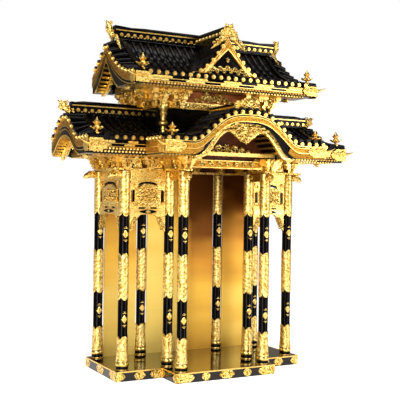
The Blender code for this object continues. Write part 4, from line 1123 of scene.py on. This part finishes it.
def corner_fittings():
    """Chased plates that wrap the eaves' corners, with a spike at each tip."""
    form, tips = forms(2)
    for side in (-1, 1):
        flank = Vector((0, side, 0))
        for x, y, z, length, half in ((LOWER_VERGE_X, LOWER_EAVE_Y, 1.322, 0.112, 0.036),
                                      (UPPER_VERGE_X, UPPER_EAVE_Y, 1.700, 0.105, 0.029),
                                      (PORCH_HALF_WIDTH, PORCH_EAVE_Y, 1.318, 0.125, 0.032)):
            shape = tab(length, half)
            plaque(form, (side * (x + 0.002), y - 0.006, z), ACROSS, UP,
                   [(-side * u, v) for u, v in shape], 0.004)
            plaque(form, (side * (x + 0.006), y - 0.002, z), flank, UP,
                   [(side * u * 0.62, v) for u, v in shape], 0.004)
            for along, size in ((0.022, 0.72), (0.054, 0.60), (0.082, 0.40)):
                scroll(tips, (side * (x - along * length / 0.105), y - 0.011, z), ACROSS * side, UP,
                       half * size, 0.0065, 1.5)
            path = [(side * (x + reach), y + back, z + rise) for reach, back, rise in (
                (-0.004, 0.004, 0.010), (0.010, -0.006, 0.006),
                (0.032, -0.015, 0.012), (0.056, -0.024, 0.024))]
            sweep(tips, path, [0.010, 0.009, 0.005, 0.001], 8)
    piece("corner_fittings", form, FITTING)
    piece("corner_spikes", tips, GILT, smooth=True)


def ranma(form, dark, plain, origin, right, width):
    """Carving, slots and frame of one pierced panel."""
    origin, right = Vector(origin), Vector(right)
    out = right.cross(UP)
    low, high = 0.942, 1.146
    tall = high - low
    middle = origin + right * (width / 2)

    def spot(u, z):
        return middle + right * u + UP * (z - middle.z)

    half = width * 0.33
    box = [(-half, -0.056), (half, -0.056), (half, 0.040), (half * 0.72, 0.055),
           (-half * 0.72, 0.055), (-half, 0.040)]
    plaque(form, spot(0, low + tall * 0.52), right, UP, box, 0.006)
    for side in (-1, 1):
        slot = [(-0.0062, -0.036), (0.0062, -0.036), (0.0062, 0.036), (-0.0062, 0.036)]
        plaque(dark, spot(side * width * 0.40, low + tall * 0.52), right, UP, slot, INLAY_DEPTH)
        slot = [(-0.018, -0.0045), (0.018, -0.0045), (0.018, 0.0045), (-0.018, 0.0045)]
        plaque(dark, spot(side * width * 0.17, low + tall * 0.185), right, UP, slot, INLAY_DEPTH)
        for z, size in ((low + tall * 0.86, 0.018), (low + tall * 0.30, 0.012)):
            scroll(plain, spot(side * width * 0.42, z) + out * 0.003, right * side, UP, size,
                   0.005, 1.3)
    arch = [(width * 0.27 * cos(a), 0.020 * sin(a)) for a in even(pi * 0.92, pi * 0.08, 10)]
    inner = [(u * 0.88, v * 0.55 - 0.003) for u, v in reversed(arch)]
    plaque(dark, spot(0, high - 0.034), right, UP, arch + inner, INLAY_DEPTH)
    path = [spot(u * 1.12, high - 0.032 + v * 1.35) + out * 0.002 for u, v in arch]
    sweep(plain, path, [0.0035] * len(path), 5)
    rail = [(-width / 2 + 0.002, -0.014), (width / 2 - 0.002, -0.014), (width / 2 - 0.002, 0.014),
            (-width / 2 + 0.002, 0.014)]
    plaque(plain, spot(0, low + 0.017), right, UP, rail, 0.005)
    field = lobed(width * 0.24, 0.011, 4, 0.1)
    plaque(dark, spot(0, low + 0.017) + out * 0.005, right, UP, field, 0.001)
    boss = lobed(0.016, 0.0075, 4, 0.1)
    plaque(plain, spot(0, low + 0.017) + out * 0.006, right, UP, boss, 0.002)
    for u in even(-half * 0.72, half * 0.72, 4):
        for z in (low + tall * 0.42, low + tall * 0.62):
            way = right * (1 if u > 0 else -1)
            scroll(form, spot(u, z) + out * 0.007, way, UP, 0.017, 0.0055, 1.4)
    flower(form, spot(0, low + tall * 0.52) + out * 0.008, right, UP, 0.022)
    for side in (-1, 1):
        for t in even(0, 1, 5):
            u = side * (width / 2 - 0.012 - 0.030 * (1 - t))
            z = low - 0.012 - 0.070 * t
            if t > 0.1:
                scroll(form, spot(u, z) + out * 0.004, right * side, UP, 0.012, 0.005, 1.2)


def panels():
    """Dress the four pierced panels, outside and inside."""
    form, dark, plain = forms(3)
    wide = OUTER_COLUMN_X - INNER_COLUMN_X - 0.062
    deep = BACK_ROW_Y - FRONT_ROW_Y - 0.062
    for side in (-1, 1):
        start = min(side * OUTER_COLUMN_X, side * INNER_COLUMN_X) + 0.031
        ranma(form, dark, plain, (start, FRONT_ROW_Y - 0.0095, 1.0), ACROSS, wide)
        ranma(form, dark, plain, (start + wide, FRONT_ROW_Y + 0.0095, 1.0), (-1, 0, 0), wide)
        for way in (-1, 1):
            x = side * OUTER_COLUMN_X + way * 0.0095
            right = (0, way, 0)
            y = FRONT_ROW_Y + 0.031 if way > 0 else BACK_ROW_Y - 0.031
            ranma(form, dark, plain, (x, y, 1.0), right, deep)
    piece("panel_carving", form, CARVED, smooth=True)
    piece("panel_slots", dark, URUSHI)
    piece("panel_frames", plain, GILT, smooth=True)


def bracket_set(form, noses, spot, right, width, low, high, reach):
    """A set of stepped arms and bearing blocks, with carved noses that stand out."""
    spot, right = Vector(spot), Vector(right)
    out = right.cross(UP)
    tiers = 3
    tall = (high - low) / tiers
    for tier in range(tiers):
        z = low + tall * tier
        half = width * (0.45 + 0.55 * tier / (tiers - 1)) / 2
        step = reach * (0.35 + 0.65 * tier / (tiers - 1))
        for k in range(3):
            u = (-1, 0, 1)[k] * (half - tall * 0.4)
            centre = spot + right * u + UP * (z + tall * 0.70) + out * step * 0.5
            size = (tall * 0.46, step * 0.5 + tall * 0.35, tall * 0.28)
            place_block(form, centre, right, out, size)
        centre = spot + UP * (z + tall * 0.22) + out * step * 0.35
        place_block(form, centre, right, out, (half, step * 0.35 + tall * 0.2, tall * 0.20))
        nose = spot + out * (step + tall * 0.55) + UP * (z + tall * 0.40)
        scroll(noses, nose, out, UP, tall * 0.62, tall * 0.26, 1.3, 9)


def place_block(form, centre, right, out, size):
    """A small block with its half sizes along two directions and upwards."""
    made = bmesh.ops.create_cube(form, size=2.0)["verts"]
    right, out = Vector(right), Vector(out)
    matrix = Matrix((right * size[0], out * size[1], Vector((0, 0, size[2])))).transposed().to_4x4()
    bmesh.ops.transform(form, matrix=Matrix.Translation(centre) @ matrix, verts=made)


def bracket_rows():
    """Bracket sets round the lower and upper storeys, and the panels between them."""
    form, noses, between = forms(3)
    low, high = 1.208, 1.2755

    def stand(x, y, right, width, reach):
        bracket_set(form, noses, (x, y, 0), right, width, low, high, reach)

    middle = (OUTER_COLUMN_X + INNER_COLUMN_X) / 2
    for side in (-1, 1):
        for x in (OUTER_COLUMN_X, middle, INNER_COLUMN_X + 0.028):
            stand(side * x, FRONT_ROW_Y - 0.030, ACROSS, 0.104, 0.034)
        for y in (-0.17, 0.0, 0.162):
            stand(side * (OUTER_COLUMN_X + 0.030), y, (0, side, 0), 0.104, 0.034)
        for y in (PORCH_ROW_Y, -0.289):
            for way in (-1, 1):
                stand(side * INNER_COLUMN_X + way * 0.030, y, (0, way, 0), 0.084, 0.026)
        stand(side * INNER_COLUMN_X, PORCH_ROW_Y - 0.044, ACROSS, 0.084, 0.034)
        for x in (0.0, INNER_COLUMN_X / 3, INNER_COLUMN_X, middle):
            stand(side * x, BACK_ROW_Y - 0.030, ACROSS, 0.100, 0.022)
        shape = [(-0.028, 0.008), (0.028, 0.008), (0.016, 0.062), (-0.016, 0.062)]
        for x in ((OUTER_COLUMN_X + middle) / 2, (INNER_COLUMN_X + 0.028 + middle) / 2):
            plaque(between, (side * x, FRONT_ROW_Y - 0.012, 1.203), ACROSS, UP, shape, 0.010)
        for y in (-0.085, 0.082):
            plaque(between, (side * (OUTER_COLUMN_X + 0.012), y, 1.203), (0, side, 0), UP,
                   [(u * 1.6, v) for u, v in shape], 0.010)
    backing = bmesh.new()
    heights = (1.2075, 1.2752)
    for side in (-1, 1):
        for y in (FRONT_ROW_Y, BACK_ROW_Y):
            side_block(backing, side, INNER_COLUMN_X + 0.020, OUTER_COLUMN_X + 0.004,
                       (y - 0.006, y + 0.006), heights)
        for x, ys in ((OUTER_COLUMN_X, (FRONT_ROW_Y, BACK_ROW_Y)),
                      (INNER_COLUMN_X, (PORCH_ROW_Y + 0.02, FRONT_ROW_Y))):
            side_block(backing, side, x - 0.006, x + 0.006, ys, heights)
    side_block(backing, 1, -INNER_COLUMN_X, INNER_COLUMN_X,
               (BACK_ROW_Y - 0.006, BACK_ROW_Y + 0.006), heights)
    piece("bracket_backing", backing, BROWN)
    low, high = 1.5655, 1.6690
    for side in (-1, 1):
        for x in (BODY_HALF_WIDTH, 0.245):
            stand(side * x, BODY_FRONT_Y - 0.002, ACROSS, 0.118, 0.072)
        for y in (-0.1455, 0.005, 0.155):
            stand(side * (BODY_HALF_WIDTH + 0.002), y, (0, side, 0), 0.118, 0.072)
    piece("bracket_blocks", form, GILT)
    piece("bracket_noses", noses, CARVED, smooth=True)
    piece("bracket_panels", between, CARVED)


def upper_storey():
    """Frieze, posts, lines and ornament on the upper storey's front and sides."""
    red, gold, carved = forms(3)
    y = BODY_FRONT_Y
    block(red, (-0.300, y - 0.004, 1.608), (0.300, y - 0.0005, 1.669))
    block(gold, (-0.374, y - 0.006, 1.598), (0.374, y - 0.0005, 1.604))
    for side in (-1, 1):
        turned_post(gold, side * 0.335, y - 0.018, 1.420, 1.585)
        block(gold, (side * 0.372 - 0.003, y, 1.590), (side * 0.372 + 0.003, ROOF_BACK_Y, 1.600))
        for x, z, size in ((0.034, 1.628, 0.024), (0.076, 1.624, 0.020), (0.112, 1.618, 0.013),
                           (0.050, 1.652, 0.015)):
            scroll(carved, (side * x, y - 0.010, z), ACROSS * side, UP, size, 0.009, 1.4)
    flower(carved, (0, y - 0.010, 1.640), ACROSS, UP, 0.028)
    piece("frieze", red, RED)
    piece("storey_posts", gold, FITTING, smooth=True)
    piece("frieze_carving", carved, CARVED, smooth=True)


def turned_post(form, x, y, low, high):
    """A round post with a wide moulded head and a ball at its foot."""
    spots = (low, low + 0.050, high - 0.072, high - 0.060, high - 0.048, high - 0.030,
             high - 0.012, high)
    sweep(form, [(x, y, z) for z in spots],
          [0.016, 0.016, 0.017, 0.023, 0.019, 0.028, 0.035, 0.033], 14)
    ball(form, (x, y, low + 0.050), (0.030, 0.030, 0.022), sides=14, rings=8)


def beam_dressing():
    """Carved nosings on the head beams, and the dress of the porch beam."""
    gold, carved = forms(2)
    for side in (-1, 1):
        for y in (FRONT_ROW_Y, BACK_ROW_Y):
            path = [(side * x, y, z) for x, z in ((0.583, 1.172), (0.604, 1.175), (0.628, 1.172),
                                                  (0.648, 1.163), (0.660, 1.155))]
            sweep(carved, path, [0.023, 0.026, 0.024, 0.018, 0.008], 10, 0.85)
            for way in (-1, 1):
                scroll(carved, (side * 0.612, y + way * 0.022, 1.182), ACROSS * side, UP,
                       0.013, 0.007, 1.2)
        for y in (FRONT_ROW_Y, PORCH_ROW_Y):
            path = [(side * INNER_COLUMN_X, y - v, z) for v, z in (
                (0.024, 1.170), (0.042, 1.173), (0.058, 1.170), (0.072, 1.162), (0.080, 1.155))]
            sweep(carved, path, [0.021, 0.023, 0.021, 0.016, 0.007], 10, 0.85)
            scroll(carved, (side * INNER_COLUMN_X, y - 0.052, 1.154), (0, -1, 0), (0, 0, -1),
                   0.013, 0.010, 1.2)
    for z in (1.2180, 1.2590):
        block(gold, (-0.242, PORCH_ROW_Y - 0.024, z - 0.002),
              (0.242, PORCH_ROW_Y - 0.0205, z + 0.002))
    for x in even(-0.165, 0.165, 6):
        scroll(carved, (x, PORCH_ROW_Y - 0.024, 1.2385), (1 if x > 0 else -1, 0, 0), UP,
               0.015, 0.006, 1.4)
    piece("beam_ends", gold, GILT)
    piece("beam_scrolls", carved, CARVED, smooth=True)


def plinth_fittings():
    """Chased corner and middle plates on the plinth, and a line along its top edge."""
    plates, lines = forms(2)
    half = PLINTH_TOP_Z / 2 - 0.003
    z = PLINTH_TOP_Z / 2
    faces = (((-0.616, -0.257), ACROSS, 0.289, 0.055, 0.080, 0.034),
             ((0.327, -0.257), ACROSS, 0.289, 0.080, 0.055, 0.034),
             ((-0.327, -0.434), ACROSS, 0.654, 0.115, 0.115, 0.050),
             ((-0.616, 0.233), (0, -1, 0), 0.490, 0.080, 0.105, 0.060),
             ((0.616, -0.257), (0, 1, 0), 0.490, 0.105, 0.080, 0.060),
             ((-0.327, -0.257), (0, -1, 0), 0.177, 0.030, 0.045, 0.0),
             ((0.327, -0.434), (0, 1, 0), 0.177, 0.045, 0.030, 0.0),
             ((0.616, 0.233), (-1, 0, 0), 1.232, 0.080, 0.080, 0.092))
    for (x, y), right, length, first, last, middle in faces:
        right = Vector(right)
        corner = Vector((x, y, z))
        plaque(plates, corner, right, UP, tab(first, half), PLATE_DEPTH)
        plaque(plates, corner + right * length, right, UP,
               [(-u, v) for u, v in reversed(tab(last, half))], PLATE_DEPTH)
        if middle:
            plaque(plates, corner + right * length / 2, right, UP, lobed(middle, half, 6, 0.14),
                   PLATE_DEPTH)
        if length > 0.6:
            for share in (0.29, 0.71):
                plaque(plates, corner + right * length * share, right, UP,
                       lobed(0.027, half, 4, 0.14), PLATE_DEPTH)
        out = right.cross(UP)
        centre = corner + right * length / 2 + UP * (z - 0.0022) + out * 0.0008
        place_block(lines, centre, right, out, (length / 2 + 0.002, 0.0020, 0.0034))
    piece("plinth_plates", plates, CARVED)
    piece("plinth_lines", lines, GILT)


def camera():
    """The photograph's view."""
    turn, tilt, roll = radians(-28.1549), radians(0.2246), radians(0.8516)
    back = Vector((sin(turn) * cos(tilt), -cos(turn) * cos(tilt), sin(tilt)))
    right = Vector((cos(turn), sin(turn), 0))
    up = back.cross(right)
    across = right * cos(roll) + up * sin(roll)
    upright = up * cos(roll) - right * sin(roll)
    lens = bpy.data.cameras.new("camera")
    lens.lens = 73.0
    lens.sensor_width = 36.0
    item = bpy.data.objects.new("camera", lens)
    matrix = Matrix((across, upright, back)).transposed().to_4x4()
    matrix.translation = (-2.359, -4.479, 1.049)
    item.matrix_world = matrix
    SCENE.collection.objects.link(item)
    SCENE.camera = item


def pale_floor():
    """A plain floor that stays as pale as the photograph's background."""
    form = bmesh.new()
    bmesh.ops.create_grid(form, x_segments=1, y_segments=1, size=30)
    mesh = bpy.data.meshes.new("floor")
    form.to_mesh(mesh)
    form.free()
    floor = bpy.data.objects.new("floor", mesh)
    SCENE.collection.objects.link(floor)
    paint, _, _ = new_material("pale_floor", Base_Color=linear("F6F5F3"), Roughness=0.9,
                              Emission_Color=linear("FFFFFF"), Emission_Strength=0.95)
    mesh.materials.append(paint)


def lamp(name, place, aim, size, watts):
    """A soft rectangular lamp that points from a place at an aim."""
    light = bpy.data.lights.new(name, "AREA")
    light.shape = "RECTANGLE"
    light.size, light.size_y = size
    light.energy = watts
    item = bpy.data.objects.new(name, light)
    item.matrix_world = facing(place, Vector(place) - Vector(aim))
    SCENE.collection.objects.link(item)


def studio_light():
    """Four lamps and a pale sky; the camera sees the sky as white."""
    lamp("key", (-3.4, -3.2, 2.4), (0, 0, 1.1), (1.4, 2.4), 128)
    lamp("fill", (2.6, -3.6, 1.7), (0, 0, 0.9), (1.0, 2.4), 66)
    lamp("top", (0, -0.8, 4.6), (0, 0, 1.2), (2.6, 1.8), 62)
    lamp("bounce", (-1.9, -3.6, 0.25), (0, -0.2, 1.45), (2.2, 0.8), 40)
    world = bpy.data.worlds.new("studio")
    world.use_nodes = True
    tree = world.node_tree
    sky = tree.nodes["Background"]
    where = add(tree, "TexCoord", {})
    path = add(tree, "LightPath", {})
    split = add(tree, "SeparateXYZ", {}, {"Vector": where.outputs["Generated"]})
    shade = ramp(tree, split.outputs["Z"], [(0.0, "A09684"), (0.5, "8A7E6C"), (1.0, "4E4843")])
    mixed = add(tree, "MixRGB", {"Color2": (1, 1, 1, 1)},
                {"Fac": path.outputs["Is Camera Ray"], "Color1": shade.outputs["Color"]})
    tree.links.new(mixed.outputs["Color"], sky.inputs["Color"])
    sky.inputs["Strength"].default_value = 1.0
    SCENE.world = world
    SCENE.view_settings.view_transform = "Standard"


def dress_solids():
    """Give the solids that stay their finishes; the wall leaf and the darker board gilding carry
    painted shade.
    """
    finishes = (("wall_", LEAF), ("plinth", FLOOR_URUSHI), ("roof", TILES), ("ridge", TILES),
                ("upper_body", URUSHI), ("column", URUSHI), ("beam_porch", SHADED_BOARD),
                ("panel", FITTING), ("beam", FITTING), ("dormer_board", SHADED_BOARD))
    for name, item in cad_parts.items():
        finish = next((finish for word, finish in finishes if word in name), CARVED)
        for slot in item.material_slots:
            slot.material = finish


for work in (
    camera, pale_floor, studio_light, dress_solids, columns, wing_tiles, porch_tiles,
    upper_tiles, eaves, verge_boards, porch_front, porch_inside, pendants, dormer_front,
    ridge_dressing, crests, finials, corner_fittings, panels, bracket_rows, upper_storey,
    beam_dressing, plinth_fittings):
    work()
